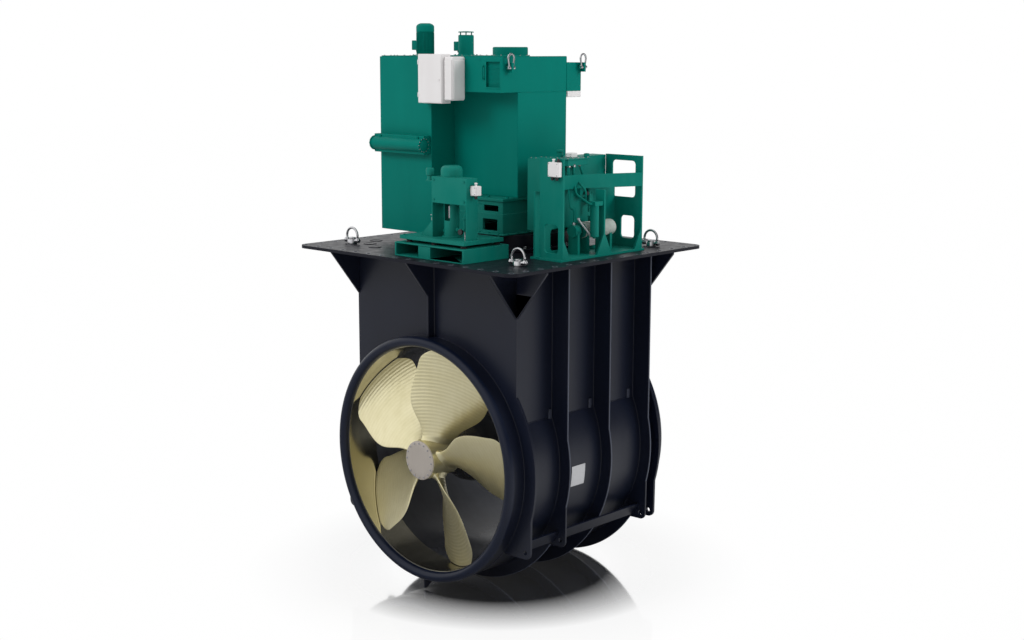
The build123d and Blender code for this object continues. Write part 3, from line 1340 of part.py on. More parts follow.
with BuildPart() as hoist_bolts:
    for hoist_point in hoist_places:
        drum(*hoist_point, -nut_height, body_top + seat_gap, hoist_stem_radius)
        drum(*hoist_point, body_top + seat_gap, body_top + seat_gap + bolt_head_height, bolt_flange_radius)
        with BuildSketch():
            with Locations(hoist_point):
                RegularPolygon(nut_radius, 6)
        extrude(amount=-nut_height)
save(hoist_bolts, "hoist_bolts")


def hoist_body(place):
    """Swivel body of a hoist ring, with the two pivot pins for its bail."""
    with BuildPart() as body:
        drum(*place, body_low, body_top, body_radius)
        with BuildSketch(Plane.YZ.offset(place[0] - pin_reach)) as pins:
            with Locations((place[1], pivot_z)):
                Circle(pivot_radius)
        extrude(pins.sketch, amount=2 * pin_reach)
        drum(*place, body_low, body_top, hoist_stem_radius + running_fit, Mode.SUBTRACT)
    return body


def hoist_bail(place):
    """Bail of a hoist ring: an arc of round bar that ends in two eyes on the pins."""
    arc_end = degrees(atan2(-bail_rise, eye_reach))
    with BuildPart() as bail:
        bail_plane = Plane(origin=(place[0], place[1], pivot_z + bail_rise), x_dir=(1, 0, 0), z_dir=(0, -1, 0))
        with BuildLine(bail_plane) as path:
            CenterArc((0, 0), bail_radius, arc_end, 180 - 2 * arc_end)
        with BuildSketch(Plane(origin=path.line @ 0, z_dir=path.line % 0)) as wire_section:
            RegularPolygon(bail_wire, bar_sides)
        sweep(wire_section.sketch, path=path.line)
        for side in (-1, 1):
            with BuildSketch(Plane.YZ.offset(place[0] + side * eye_reach - eye_width / 2)) as eye:
                with Locations((place[1], pivot_z)):
                    Circle(eye_radius)
            extrude(eye.sketch, amount=eye_width)
        with BuildSketch(Plane.YZ.offset(place[0] - 2 * eye_reach)) as pin_hole:
            with Locations((place[1], pivot_z)):
                Circle(pivot_radius + running_fit)
        extrude(pin_hole.sketch, amount=4 * eye_reach, mode=Mode.SUBTRACT)
        block(place[0] - eye_reach + eye_width / 2, place[0] + eye_reach - eye_width / 2,
              place[1] - eye_radius, place[1] + eye_radius, pivot_z - 2 * eye_radius, pivot_z + eye_radius,
              Mode.SUBTRACT)
    return bail


for number, hoist_point in enumerate(hoist_places, 1):
    save(hoist_body(hoist_point), "hoist_body_" + str(number))
    save(hoist_bail(hoist_point), "hoist_bail_" + str(number))
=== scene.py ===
"""Visual model of the tunnel thruster module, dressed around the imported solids.

Lengths in the assemblies are millimetres in the shared frame: +Z up, tunnel along Y, propeller at -Y. Materials,
lamps and the floor are in metres.
"""

from __future__ import annotations

import json
import logging
import math
from dataclasses import dataclass, replace
from enum import Enum
from typing import Iterable, Sequence

import bpy
import numpy as np
from mathutils import Matrix, Vector

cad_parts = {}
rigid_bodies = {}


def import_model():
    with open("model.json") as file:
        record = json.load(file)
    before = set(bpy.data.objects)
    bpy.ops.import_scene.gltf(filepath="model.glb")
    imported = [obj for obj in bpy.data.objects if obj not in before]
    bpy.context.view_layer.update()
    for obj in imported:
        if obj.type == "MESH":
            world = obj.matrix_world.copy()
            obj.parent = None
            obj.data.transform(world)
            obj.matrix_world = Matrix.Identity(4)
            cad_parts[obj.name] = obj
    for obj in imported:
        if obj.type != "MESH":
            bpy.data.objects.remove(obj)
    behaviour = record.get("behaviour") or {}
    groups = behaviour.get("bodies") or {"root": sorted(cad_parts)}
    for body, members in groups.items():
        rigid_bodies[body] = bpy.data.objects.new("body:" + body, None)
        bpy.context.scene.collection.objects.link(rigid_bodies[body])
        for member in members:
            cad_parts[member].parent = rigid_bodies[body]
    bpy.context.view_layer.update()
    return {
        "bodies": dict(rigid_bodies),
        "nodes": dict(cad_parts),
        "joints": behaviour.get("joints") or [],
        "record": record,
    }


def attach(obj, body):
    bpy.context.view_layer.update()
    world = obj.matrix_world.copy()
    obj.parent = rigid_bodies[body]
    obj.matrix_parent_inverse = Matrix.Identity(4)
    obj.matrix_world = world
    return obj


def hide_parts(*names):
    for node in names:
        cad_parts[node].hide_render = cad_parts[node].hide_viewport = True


logging.basicConfig(level=logging.INFO, format="%(name)s: %(message)s")
LOG = logging.getLogger("thruster_module")

MM = 0.001
Triple = tuple[float, float, float]
Piece = bpy.types.Object
ORIGIN: Triple = (0.0, 0.0, 0.0)
UP: Triple = (0.0, 0.0, 1.0)
SIDES = (-1, 1)
AXIS_Z = -1950.0
TUNNEL_LINE: Triple = (0.0, 0.0, AXIS_Z)
SHAFT_LINE: Triple = (0.0, 130.0, 0.0)
HOIST_PLACES = ((-1126, -958), (1126, -958), (-1126, 958), (1126, 958))


class Axis(Enum):
    """Directions that pieces are turned about."""

    ACROSS = (1.0, 0.0, 0.0)
    TUNNEL = (0.0, 1.0, 0.0)
    UP = (0.0, 0.0, 1.0)


class Grain(Enum):
    """Surface textures that a finish can have."""

    SPRAYED = "sprayed"
    MILLED = "milled"
    TURNED = "turned"
    SPANGLED = "spangled"
    MOULDED = "moulded"


# ---------------------------------------------------------------- modelling


def clear_selection() -> None:
    """Leaves edit mode and deselects every object."""
    if bpy.context.object and bpy.context.object.mode != "OBJECT":
        bpy.ops.object.mode_set(mode="OBJECT")
    bpy.ops.object.select_all(action="DESELECT")


def pick(piece: Piece) -> None:
    """Selects one piece alone and makes it active.

    Args:
        piece: The piece.
    """
    clear_selection()
    piece.select_set(True)
    bpy.context.view_layer.objects.active = piece


def settle(piece: Piece) -> Piece:
    """Moves a piece's place, turn and scale into its mesh.

    Args:
        piece: The piece.

    Returns:
        The same piece, at the origin.
    """
    pick(piece)
    bpy.ops.object.transform_apply(location=True, rotation=True, scale=True)
    return piece


def block(low: Triple, high: Triple) -> Piece:
    """Adds a box, ready to be shaped.

    Args:
        low: Its lowest corner, in millimetres.
        high: Its highest corner.

    Returns:
        The new piece.
    """
    clear_selection()
    middle = [(a + b) / 2 * MM for a, b in zip(low, high)]
    bpy.ops.mesh.primitive_cube_add(size=1, location=middle)
    piece = bpy.context.object
    piece.scale = [(b - a) * MM for a, b in zip(low, high)]
    return settle(piece)


def heading(direction: Sequence[float]) -> Matrix:
    """Returns the turn that takes +Z to a direction."""
    return Vector(UP).rotation_difference(Vector(direction)).to_matrix().to_4x4()


def drum(start: Triple, direction: Sequence[float], length: float, radius: float, far: float | None = None,
         sides: int = 40) -> Piece:
    """Adds a round bar or cone.

    Args:
        start: Centre of its first end, in millimetres.
        direction: Unit direction from the first end to the other.
        length: Length in millimetres.
        radius: Radius at the first end.
        far: Radius at the other end, or None for the same.
        sides: Number of sides.

    Returns:
        The new piece.
    """
    clear_selection()
    bpy.ops.mesh.primitive_cone_add(vertices=sides, radius1=radius * MM, depth=length * MM,
                                    radius2=(radius if far is None else far) * MM)
    piece = bpy.context.object
    middle = Vector(start) + Vector(direction) * length / 2
    piece.data.transform(Matrix.Translation(middle * MM) @ heading(direction))
    return piece


def turned(profile: Sequence[tuple[float, float]], centre: Triple, axis: Axis, steps: int,
           closed: bool = True) -> Piece:
    """Spins a profile of (radius, along) points round an axis.

    Args:
        profile: Points in millimetres, in order.
        centre: A point on the axis, where along is 0.
        axis: Direction of the axis.
        steps: Number of steps in the turn.
        closed: Whether the last point joins the first.

    Returns:
        The turned piece with its faces outwards.
    """
    along = Vector(axis.value)
    out = Vector((1, 0, 0)) if axis is not Axis.ACROSS else Vector((0, 0, 1))
    points = [(Vector(centre) + out * radius + along * height) * MM for radius, height in profile]
    edges = [(index, index + 1) for index in range(len(points) - 1)]
    if closed:
        edges.append((len(points) - 1, 0))
    mesh = bpy.data.meshes.new("profile")
    mesh.from_pydata(points, edges, [])
    piece = bpy.data.objects.new("profile", mesh)
    bpy.context.collection.objects.link(piece)
    pick(piece)
    bpy.ops.object.mode_set(mode="EDIT")
    bpy.ops.mesh.select_all(action="SELECT")
    bpy.ops.mesh.spin(steps=steps, angle=math.tau, center=Vector(centre) * MM, axis=along)
    bpy.ops.mesh.select_all(action="SELECT")
    bpy.ops.mesh.remove_doubles(threshold=1e-6)
    bpy.ops.mesh.normals_make_consistent(inside=False)
    bpy.ops.object.mode_set(mode="OBJECT")
    return piece


def bar(points: Sequence[Triple], radius: float, closed: bool = False, round_steps: int = 3) -> Piece:
    """Makes a round bar or pipe along points.

    Args:
        points: Its line, in millimetres.
        radius: Its radius.
        closed: Whether its ends meet.
        round_steps: Blender's steps in each quarter of its section.

    Returns:
        The new piece, as a mesh.
    """
    curve = bpy.data.curves.new("bar", "CURVE")
    curve.dimensions = "3D"
    curve.bevel_depth = radius * MM
    curve.bevel_resolution = round_steps
    curve.use_fill_caps = not closed
    line = curve.splines.new("POLY")
    line.points.add(len(points) - 1)
    for knot, point in zip(line.points, points):
        knot.co = (*(Vector(point) * MM), 1.0)
    line.use_cyclic_u = closed
    piece = bpy.data.objects.new("bar", curve)
    bpy.context.collection.objects.link(piece)
    pick(piece)
    bpy.ops.object.convert(target="MESH")
    return bpy.context.object


def bent(points: Sequence[Triple], radius: float, steps: int = 6) -> list[Triple]:
    """Rounds the inner corners of a pipe's route.

    Args:
        points: The route's corners in millimetres.
        radius: Length of each bend's legs.
        steps: Steps in each bend.

    Returns:
        The route with its bends.
    """
    route = [tuple(points[0])]
    for before, corner, after in zip(points, points[1:], points[2:]):
        corner = Vector(corner)
        first = corner + (Vector(before) - corner).normalized() * radius
        last = corner + (Vector(after) - corner).normalized() * radius
        for step in range(steps + 1):
            share = step / steps
            route.append(tuple(first * (1 - share) ** 2 + corner * 2 * share * (1 - share) + last * share ** 2))
    route.append(tuple(points[-1]))
    return route


def ring(centre: Triple, radius: float, turns: Iterable[float], axis: Axis) -> list[Triple]:
    """Finds points on a circle.

    Args:
        centre: The circle's centre, in millimetres.
        radius: Its radius.
        turns: Where the points are, in degrees from X, or from Y on a circle about X.
        axis: Direction that the circle lies about.

    Returns:
        One point for each turn.
    """
    first, second = {Axis.ACROSS: (1, 2), Axis.TUNNEL: (0, 2), Axis.UP: (0, 1)}[axis]
    points = []
    for turn in turns:
        point = list(centre)
        point[first] += radius * math.cos(math.radians(turn))
        point[second] += radius * math.sin(math.radians(turn))
        points.append(tuple(point))
    return points


def arc(centre: Triple, radius: float, start: float, end: float, steps: int, axis: Axis) -> list[Triple]:
    """Returns evenly spaced points on a circle, from one turn in degrees to another."""
    return ring(centre, radius, [start + (end - start) * step / steps for step in range(steps + 1)], axis)


def smooth(piece: Piece, angle: float) -> Piece:
    """Smooths the shading of faces that meet at a small angle.

    Args:
        piece: The piece.
        angle: Least angle in degrees of an edge that stays sharp.

    Returns:
        The same piece.
    """
    pick(piece)
    bpy.ops.object.shade_smooth_by_angle(angle=math.radians(angle))
    return piece


def soften(piece: Piece, width: float, segments: int = 2, angle: float = 30.0) -> Piece:
    """Rounds a piece's sharp edges and keeps its flats flat in shading.

    Args:
        piece: The piece to finish.
        width: Width of the rounding in millimetres.
        segments: Steps across the rounding.
        angle: Least angle in degrees of an edge that is rounded.

    Returns:
        The same piece.
    """
    pick(piece)
    edge = piece.modifiers.new("edge", "BEVEL")
    edge.width = width * MM
    edge.segments = segments
    edge.limit_method = "ANGLE"
    edge.angle_limit = math.radians(angle)
    bpy.ops.object.modifier_apply(modifier="edge")
    smooth(piece, 46.0)
    even = piece.modifiers.new("even", "WEIGHTED_NORMAL")
    even.keep_sharp = True
    bpy.ops.object.modifier_apply(modifier="even")
    return piece


def merged(parts: Sequence[Piece]) -> Piece:
    """Joins pieces into one.

    Args:
        parts: The pieces.

    Returns:
        The first piece, which now holds them all.
    """
    pick(parts[0])
    for part in parts:
        part.select_set(True)
    bpy.ops.object.join()
    return bpy.context.object


def copies(pattern: Piece, places: Iterable[Matrix]) -> Piece:
    """Joins copies of one pattern, each with its own mesh, and removes the pattern.

    Args:
        pattern: The piece to copy, which stands at the origin.
        places: The place of each copy.

    Returns:
        One piece that holds the copies.
    """
    parts = []
    for place in places:
        twin = pattern.copy()
        twin.data = pattern.data.copy()
        twin.data.transform(place)
        bpy.context.collection.objects.link(twin)
        parts.append(twin)
    bpy.data.objects.remove(pattern)
    return merged(parts)


def carve(piece: Piece, cutter: Piece) -> Piece:
    """Cuts one closed piece out of another.

    Args:
        piece: The piece that is cut.
        cutter: The piece that is taken away, which is removed.

    Returns:
        The piece that was cut.
    """
    pick(piece)
    cut = piece.modifiers.new("cut", "BOOLEAN")
    cut.operation = "DIFFERENCE"
    cut.solver = "EXACT"
    cut.object = cutter
    bpy.ops.object.modifier_apply(modifier="cut")
    bpy.data.objects.remove(cutter)
    return piece


def placed(x: float, y: float, z: float, direction: Sequence[float] = UP, spin: float = 0.0) -> Matrix:
    """Returns the place of a copy, in millimetres, with +Z turned to a direction and a spin in degrees."""
    turn = heading(direction) @ Matrix.Rotation(math.radians(spin), 4, "Z")
    return Matrix.Translation(Vector((x, y, z)) * MM) @ turn


def plate(low: Triple, high: Triple, width: float = 2.0, segments: int = 2) -> Piece:
    """Returns a box between two corners in millimetres, with its edges rounded."""
    return soften(block(low, high), width, segments)


def lathed(profile: Sequence[tuple[float, float]], centre: Triple, axis: Axis, steps: int, angle: float = 30.0,
           closed: bool = False) -> Piece:
    """Returns a turned piece, smooth where its faces meet at less than an angle in degrees."""
    return smooth(turned(profile, centre, axis, steps, closed), angle)


def nut(start: Triple, direction: Sequence[float], length: float, radius: float, width: float = 1.5) -> Piece:
    """Returns a hexagon with its edges rounded, from the centre of one end, with its corner radius."""
    return soften(drum(start, direction, length, radius, sides=6), width, 1)


def eye(centre: Triple, axis: Axis, hole: float, half: float) -> Piece:
    """Turns the eye at the end of a bail or bow.

    Args:
        centre: Its centre, in millimetres.
        axis: Direction of its hole.
        hole: Radius of its hole.
        half: Half of its length.

    Returns:
        The new piece.
    """
    flat, rim, shoulder = hole + 6.8, hole + 9.8, half - 3
    profile = [(hole, -half), (flat, -half), (rim, -shoulder), (rim, shoulder), (flat, half), (hole, half)]
    return lathed(profile, centre, axis, 32, 40, closed=True)


def hex_screw(size: float) -> Piece:
    """Makes a hexagon screw head on a washer at the origin.

    Args:
        size: Corner radius of the head, in millimetres.

    Returns:
        The new piece.
    """
    foot, rise = size * 0.16, size * 0.7
    return merged([soften(drum((0, 0, foot), UP, rise, size, sides=6), size * 0.06, 1),
                   drum((0, 0, foot + rise), UP, size * 0.12, size * 0.84, size * 0.7, sides=12),
                   drum(ORIGIN, UP, foot, size * 1.15, sides=20)])


def socket_screw(size: float) -> Piece:
    """Makes a socket screw head at the origin.

    Args:
        size: Radius of the head, in millimetres.

    Returns:
        The new piece.
    """
    profile = [(0, 0.35), (0.5, 0.35), (0.5, 0.82), (0.88, 0.82), (1, 0.7), (1, 0), (0, 0)]
    return lathed([(radius * size, height * size) for radius, height in profile], ORIGIN, Axis.UP, 18)


def refined(node: str, width: float, segments: int = 2, angle: float = 30.0) -> Piece:
    """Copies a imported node, merges its triangles into clean faces and rounds its edges.

    Args:
        node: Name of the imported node.
        width: Width of the rounding in millimetres, or 0 for none.
        segments: Steps across the rounding.
        angle: Least angle in degrees of an edge that is rounded, or that stays sharp where none is.

    Returns:
        The copy, which is ready to replace the node.
    """
    piece = bpy.data.objects.new(node, bpy.data.objects[node].data.copy())
    bpy.context.collection.objects.link(piece)
    pick(piece)
    if piece.data.has_custom_normals:
        bpy.ops.mesh.customdata_custom_splitnormals_clear()
    bpy.ops.object.mode_set(mode="EDIT")
    bpy.ops.mesh.select_all(action="SELECT")
    bpy.ops.mesh.remove_doubles(threshold=2e-5)
    bpy.ops.mesh.dissolve_limited(angle_limit=math.radians(0.4))
    bpy.ops.object.mode_set(mode="OBJECT")
    return soften(piece, width, segments, angle) if width else smooth(piece, angle)


def spline(knots: Sequence[float], values: Sequence[float], at: np.ndarray) -> np.ndarray:
    """Evaluates a natural cubic spline.

    Args:
        knots: Where its values are given, in order.
        values: Its value at each knot.
        at: Where it is wanted.

    Returns:
        Its values there.
    """
    x, y = np.array(knots), np.array(values)
    gap = np.diff(x)
    count = len(x)
    system = np.eye(count)
    right = np.zeros(count)
    for index in range(1, count - 1):
        before, after = gap[index - 1], gap[index]
        system[index, index - 1:index + 2] = before, 2 * (before + after), after
        right[index] = 3 * ((y[index + 1] - y[index]) / after - (y[index] - y[index - 1]) / before)
    curve = np.linalg.solve(system, right)
    span = np.clip(np.searchsorted(x, at) - 1, 0, count - 2)
    step, width = at - x[span], gap[span]
    slope = (y[span + 1] - y[span]) / width - width * (2 * curve[span] + curve[span + 1]) / 3
    bend = (curve[span + 1] - curve[span]) / (3 * width)
    return y[span] + slope * step + curve[span] * step ** 2 + bend * step ** 3


# ---------------------------------------------------------------- materials


def linear(colour: Triple) -> tuple[float, float, float, float]:
    """Turns an sRGB colour of 0 to 255 into a linear one with alpha."""
    shares = [channel / 255 for channel in colour]
    return (*(c / 12.92 if c <= 0.04045 else ((c + 0.055) / 1.055) ** 2.4 for c in shares), 1.0)


class Wiring:
    """Adds nodes to a tree and joins them."""

    def __init__(self, tree: bpy.types.NodeTree) -> None:
        """Keeps the tree."""
        self.tree = tree

    def node(self, kind: str, *sources: object, **settings: object) -> bpy.types.Node:
        """Adds a node.

        Args:
            kind: The node's type, without the ShaderNode prefix.
            sources: Values or output sockets for its inputs, in order; None leaves one alone.
            settings: Properties of the node.

        Returns:
            The new node.
        """
        made = self.tree.nodes.new("ShaderNode" + kind)
        for key, value in settings.items():
            setattr(made, key, value)
        for socket, source in zip(made.inputs, sources):
            self.feed(socket, source)
        return made

    def feed(self, socket: bpy.types.NodeSocket, source: object) -> None:
        """Joins or sets one input.

        Args:
            socket: The input.
            source: An output socket, a value, or None to leave the input alone.
        """
        if isinstance(source, bpy.types.NodeSocket):
            self.tree.links.new(source, socket)
        elif source is not None:
            socket.default_value = source

    def maths(self, operation: str, *sources: object) -> bpy.types.NodeSocket:
        """Adds a Math node and returns its result."""
        return self.node("Math", *sources, operation=operation).outputs[0]

    def span(self, value: object, low: float, high: float, new_low: float, new_high: float) -> bpy.types.NodeSocket:
        """Maps a value from one span to another."""
        return self.node("MapRange", value, low, high, new_low, new_high).outputs[0]


def effect_group(name: str, value: str, outputs: Sequence[str]) -> tuple[Wiring, dict, dict]:
    """Starts a shared node group, whose first input is the coordinates that it reads.

    Args:
        name: The group's name.
        value: Name of its second input, a number.
        outputs: Names of its float outputs.

    Returns:
        Its wiring, its inner sources by name, and its inner sinks by name.
    """
    tree = bpy.data.node_groups.new(name, "ShaderNodeTree")
    for label, kind in (("Vector", "NodeSocketVector"), (value, "NodeSocketFloat")):
        tree.interface.new_socket(label, in_out="INPUT", socket_type=kind)
    for label in outputs:
        tree.interface.new_socket(label, in_out="OUTPUT", socket_type="NodeSocketFloat")
    start = tree.nodes.new("NodeGroupInput")
    end = tree.nodes.new("NodeGroupOutput")
    return Wiring(tree), {s.name: s for s in start.outputs}, {s.name: s for s in end.inputs}


class Effects:
    """The shared node groups, each built once."""

    @staticmethod
    def patches() -> bpy.types.NodeTree:
        """Builds the soft tone patches and faint runs that every surface has.

        Returns:
            The group.
        """
        if "tone_patches" in bpy.data.node_groups:
            return bpy.data.node_groups["tone_patches"]
        wire, source, sink = effect_group("tone_patches", "Scale", ["Tone", "Gloss"])
        broad = wire.node("TexNoise", source["Vector"], None, source["Scale"], 3.0, 0.55)
        stretched = wire.node("Mapping", source["Vector"])
        stretched.inputs["Scale"].default_value = (6.0, 6.0, 0.7)
        runs = wire.node("TexNoise", stretched.outputs[0], None, source["Scale"], 2.0, 0.5)
        blend = wire.maths("MULTIPLY_ADD", runs.outputs[0], 0.35, wire.maths("MULTIPLY", broad.outputs[0], 0.65))
        wire.feed(sink["Tone"], wire.span(blend, 0.35, 0.65, 0.0, 1.0))
        wire.feed(sink["Gloss"], wire.span(runs.outputs[0], 0.3, 0.7, 0.0, 1.0))
        return wire.tree

    @staticmethod
    def dust() -> bpy.types.NodeTree:
        """Builds the fine dust that lies on surfaces that face up.

        Returns:
            The group.
        """
        if "settled_dust" in bpy.data.node_groups:
            return bpy.data.node_groups["settled_dust"]
        wire, source, sink = effect_group("settled_dust", "Amount", ["Mask"])
        rise = wire.node("SeparateXYZ", wire.node("NewGeometry").outputs["Normal"]).outputs["Z"]
        facing = wire.span(rise, 0.55, 1.0, 0.0, 1.0)
        speck = wire.node("TexNoise", source["Vector"], None, 38.0, 6.0, 0.7)
        cloud = wire.span(speck.outputs[0], 0.42, 0.72, 0.0, 1.0)
        wire.feed(sink["Mask"], wire.maths("MULTIPLY", wire.maths("MULTIPLY", facing, cloud), source["Amount"]))
        return wire.tree

    @staticmethod
    def grain(kind: Grain) -> bpy.types.NodeTree:
        """Builds the height and mask of one kind of surface texture.

        Args:
            kind: The texture.

        Returns:
            The group.
        """
        name = kind.value + "_grain"
        if name in bpy.data.node_groups:
            return bpy.data.node_groups[name]
        wire, source, sink = effect_group(name, "Scale", ["Height", "Mask"])
        if kind in (Grain.MILLED, Grain.TURNED):
            flat = wire.node("VectorMath", source["Vector"], (1.0, 1.0, 0.0), operation="MULTIPLY").outputs[0]
            reach = wire.node("VectorMath", flat, operation="LENGTH").outputs["Value"]
            wander = wire.node("TexNoise", source["Vector"], None, 3.0, 2.0, 0.5).outputs[0]
            reach = wire.maths("MULTIPLY_ADD", wander, 0.004 if kind is Grain.MILLED else 0.0005, reach)
            wave = wire.maths("SINE", wire.maths("MULTIPLY", reach, source["Scale"]))
            scratch = wire.node("TexNoise", source["Vector"], None, 260.0, 4.0, 0.7).outputs[0]
            wire.feed(sink["Height"], wire.maths("MULTIPLY_ADD", scratch, 0.18, wave))
            wire.feed(sink["Mask"], wire.span(wave, -1.0, 1.0, 0.0, 1.0))
        elif kind is Grain.SPANGLED:
            cells = wire.node("TexVoronoi", source["Vector"], None, source["Scale"])
            wire.feed(sink["Height"], wire.node("TexNoise", source["Vector"], None, 400.0, 3.0, 0.6).outputs[0])
            wire.feed(sink["Mask"], wire.node("SeparateColor", cells.outputs["Color"]).outputs[0])
        else:
            peel = wire.node("TexNoise", source["Vector"], None, source["Scale"], 2.0, 0.5).outputs[0]
            wire.feed(sink["Height"], peel)
            wire.feed(sink["Mask"], wire.span(peel, 0.35, 0.65, 0.0, 1.0))
        return wire.tree


@dataclass(frozen=True)
class Finish:
    """One finish: its colours, its gloss and its texture, whose depth is in metres."""

    name: str
    slot: str
    colour: Triple
    tone: Triple
    roughness: tuple[float, float]
    metallic: float = 0.0
    grain: Grain = Grain.SPRAYED
    scale: float = 300.0
    depth: float = 0.00005
    dust: float = 0.0
    dust_colour: Triple = (168, 164, 156)
    patch: float = 1.6
    mask_share: float = 0.0
    centre: Triple = ORIGIN
    turn: Triple = ORIGIN
    specular: float = 0.5

    def material(self) -> bpy.types.Material:
        """Builds the finish's material the first time that it is asked for.

        Returns:
            The material. Its name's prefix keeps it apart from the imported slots' own materials.
        """
        label = "finish_" + self.name
        if label in bpy.data.materials:
            return bpy.data.materials[label]
        made = bpy.data.materials.new(label)
        made.use_nodes = True
        wire = Wiring(made.node_tree)
        shader = made.node_tree.nodes["Principled BSDF"]
        where = wire.node("TexCoord").outputs["Object"]
        centred = wire.node("Mapping", where)
        centred.inputs["Location"].default_value = [-value * MM for value in self.centre]
        turned_round = wire.node("Mapping", centred.outputs[0])
        turned_round.inputs["Rotation"].default_value = [math.radians(value) for value in self.turn]
        patches = self.group(wire, Effects.patches(), where, self.patch)
        dust = self.group(wire, Effects.dust(), where, self.dust)
        grain = self.group(wire, Effects.grain(self.grain), turned_round.outputs[0], self.scale)
        mask = wire.maths("MULTIPLY_ADD", grain.outputs["Mask"], self.mask_share,
                          wire.maths("MULTIPLY", patches.outputs["Tone"], 1.0 - self.mask_share))
        colour = self.mix(wire, mask, linear(self.colour), linear(self.tone))
        dusted = self.mix(wire, dust.outputs["Mask"], colour, linear(self.dust_colour))
        wire.feed(shader.inputs["Base Color"], dusted)
        gloss = wire.span(patches.outputs["Gloss"], 0.0, 1.0, *self.roughness)
        wire.feed(shader.inputs["Roughness"], wire.maths("MULTIPLY_ADD", dust.outputs["Mask"], 0.3, gloss))
        shader.inputs["Metallic"].default_value = self.metallic
        shader.inputs["Specular IOR Level"].default_value = self.specular
        bump = wire.node("Bump")
        bump.inputs["Strength"].default_value = 1.0
        bump.inputs["Distance"].default_value = self.depth
        wire.feed(bump.inputs["Height"], grain.outputs["Height"])
        wire.feed(shader.inputs["Normal"], bump.outputs[0])
        return made

    @staticmethod
    def group(wire: Wiring, tree: bpy.types.NodeTree, where: bpy.types.NodeSocket, value: float) -> bpy.types.Node:
        """Places a shared group.

        Args:
            wire: The material's wiring.
            tree: The group.
            where: The coordinates that it reads.
            value: This finish's own value for it.

        Returns:
            The group's node.
        """
        made = wire.node("Group", node_tree=tree)
        wire.feed(made.inputs[0], where)
        made.inputs[1].default_value = value
        return made

    @staticmethod
    def mix(wire: Wiring, share: bpy.types.NodeSocket, first: object, second: object) -> bpy.types.NodeSocket:
        """Mixes two colours.

        Args:
            wire: The material's wiring.
            share: Share of the second colour.
            first: The first colour, or a socket that gives it.
            second: The second colour.

        Returns:
            The mixed colour's socket.
        """
        made = wire.node("Mix", data_type="RGBA")
        for index, source in ((0, share), (6, first), (7, second)):
            wire.feed(made.inputs[index], source)
        return made.outputs[2]


LENGTHWISE: Triple = (90.0, 0.0, 0.0)
HULL = Finish("hull_navy", "hull_paint", (12, 17, 33), (14, 20, 37), (0.33, 0.4), patch=0.9, specular=0.42)
BED = Finish("bed_navy", "hull_paint", (14, 16, 27), (18, 20, 31), (0.34, 0.46), depth=0.0001, dust=0.05, patch=2.0,
             specular=0.22)
BORE = Finish("bore_grey", "tunnel_grey", (58, 60, 67), (68, 70, 77), (0.18, 0.26), scale=260.0, depth=0.00006,
              specular=0.95)
LIP = Finish("lip_navy", "tunnel_grey", (13, 20, 38), (15, 23, 42), (0.3, 0.36), depth=0.00004, specular=0.28)
WORN = Finish("worn_steel", "hull_paint", (112, 116, 126), (92, 96, 106), (0.35, 0.5), metallic=0.3)
# Lighter navy for the web frames' rounded edges: a painted highlight standing in for the light that those edges
# catch.
PAINTED_EDGE_HIGHLIGHT = Finish("painted_edge_highlight_navy", "hull_paint", (66, 72, 88), (56, 62, 78), (0.3, 0.38), depth=0.00004, specular=0.6)
TAB = Finish("tab_navy", "hull_paint", (44, 48, 62), (52, 56, 70), (0.4, 0.5), depth=0.00006)
GREEN = Finish("machinery_green", "machinery_green", (0, 119, 107), (0, 112, 101), (0.42, 0.52), scale=380.0,
               patch=1.1, specular=0.07)
GREEN_WELD = Finish("green_fabrication", "machinery_green", (0, 114, 102), (24, 120, 108), (0.4, 0.52), scale=380.0,
                    depth=0.00007, dust=0.03, patch=2.2, specular=0.1)
BOX_GREY = Finish("box_enamel", "box_enamel", (226, 223, 223), (231, 229, 229), (0.38, 0.46), scale=600.0,
                  depth=0.00003, specular=0.3)
BRONZE = Finish("milled_bronze", "bronze", (238, 230, 192), (226, 217, 174), (0.3, 0.38), metallic=0.85,
                grain=Grain.MILLED, scale=math.tau / 0.034, depth=0.0006, patch=3.0, mask_share=0.3,
                centre=TUNNEL_LINE, turn=LENGTHWISE)
HUB_STEEL = Finish("cap_steel", "hub_steel", (186, 178, 170), (172, 165, 158), (0.46, 0.56), metallic=0.5,
                   grain=Grain.TURNED, scale=math.tau / 0.004, mask_share=0.3, centre=TUNNEL_LINE, turn=LENGTHWISE)
BAND = Finish("polished_band", "wear_steel", (214, 208, 184), (200, 194, 170), (0.12, 0.2), metallic=1.0,
              grain=Grain.SPANGLED, scale=6.0, depth=0.00001, mask_share=0.2)
BRIGHT = Finish("bright_zinc", "galvanised", (214, 214, 216), (190, 190, 194), (0.16, 0.3), metallic=1.0,
                grain=Grain.SPANGLED, scale=90.0, depth=0.00004, mask_share=0.5)
DARK_STEEL = Finish("blackened_steel", "machined_steel", (60, 60, 62), (80, 80, 82), (0.3, 0.42), metallic=0.9,
                    grain=Grain.SPANGLED, scale=120.0, depth=0.00003, mask_share=0.4)
MACHINED = Finish("machined_steel", "machined_steel", (186, 186, 190), (168, 168, 172), (0.22, 0.34), metallic=1.0,
                  grain=Grain.TURNED, scale=math.tau / 0.0025, mask_share=0.3, centre=SHAFT_LINE)
SHAFT_STEEL = replace(MACHINED, name="shaft_steel", centre=TUNNEL_LINE, turn=LENGTHWISE)
GEAR = Finish("ground_gear_steel", "gear_steel", (150, 150, 156), (128, 128, 134), (0.22, 0.3), metallic=1.0,
              grain=Grain.TURNED, scale=math.tau / 0.003, depth=0.00004, mask_share=0.3, centre=TUNNEL_LINE,
              turn=LENGTHWISE)
CORE = Finish("core_steel", "core_steel", (78, 78, 82), (62, 62, 66), (0.45, 0.6), metallic=0.6, grain=Grain.MOULDED,
              scale=240.0, depth=0.0002, dust=0.1)
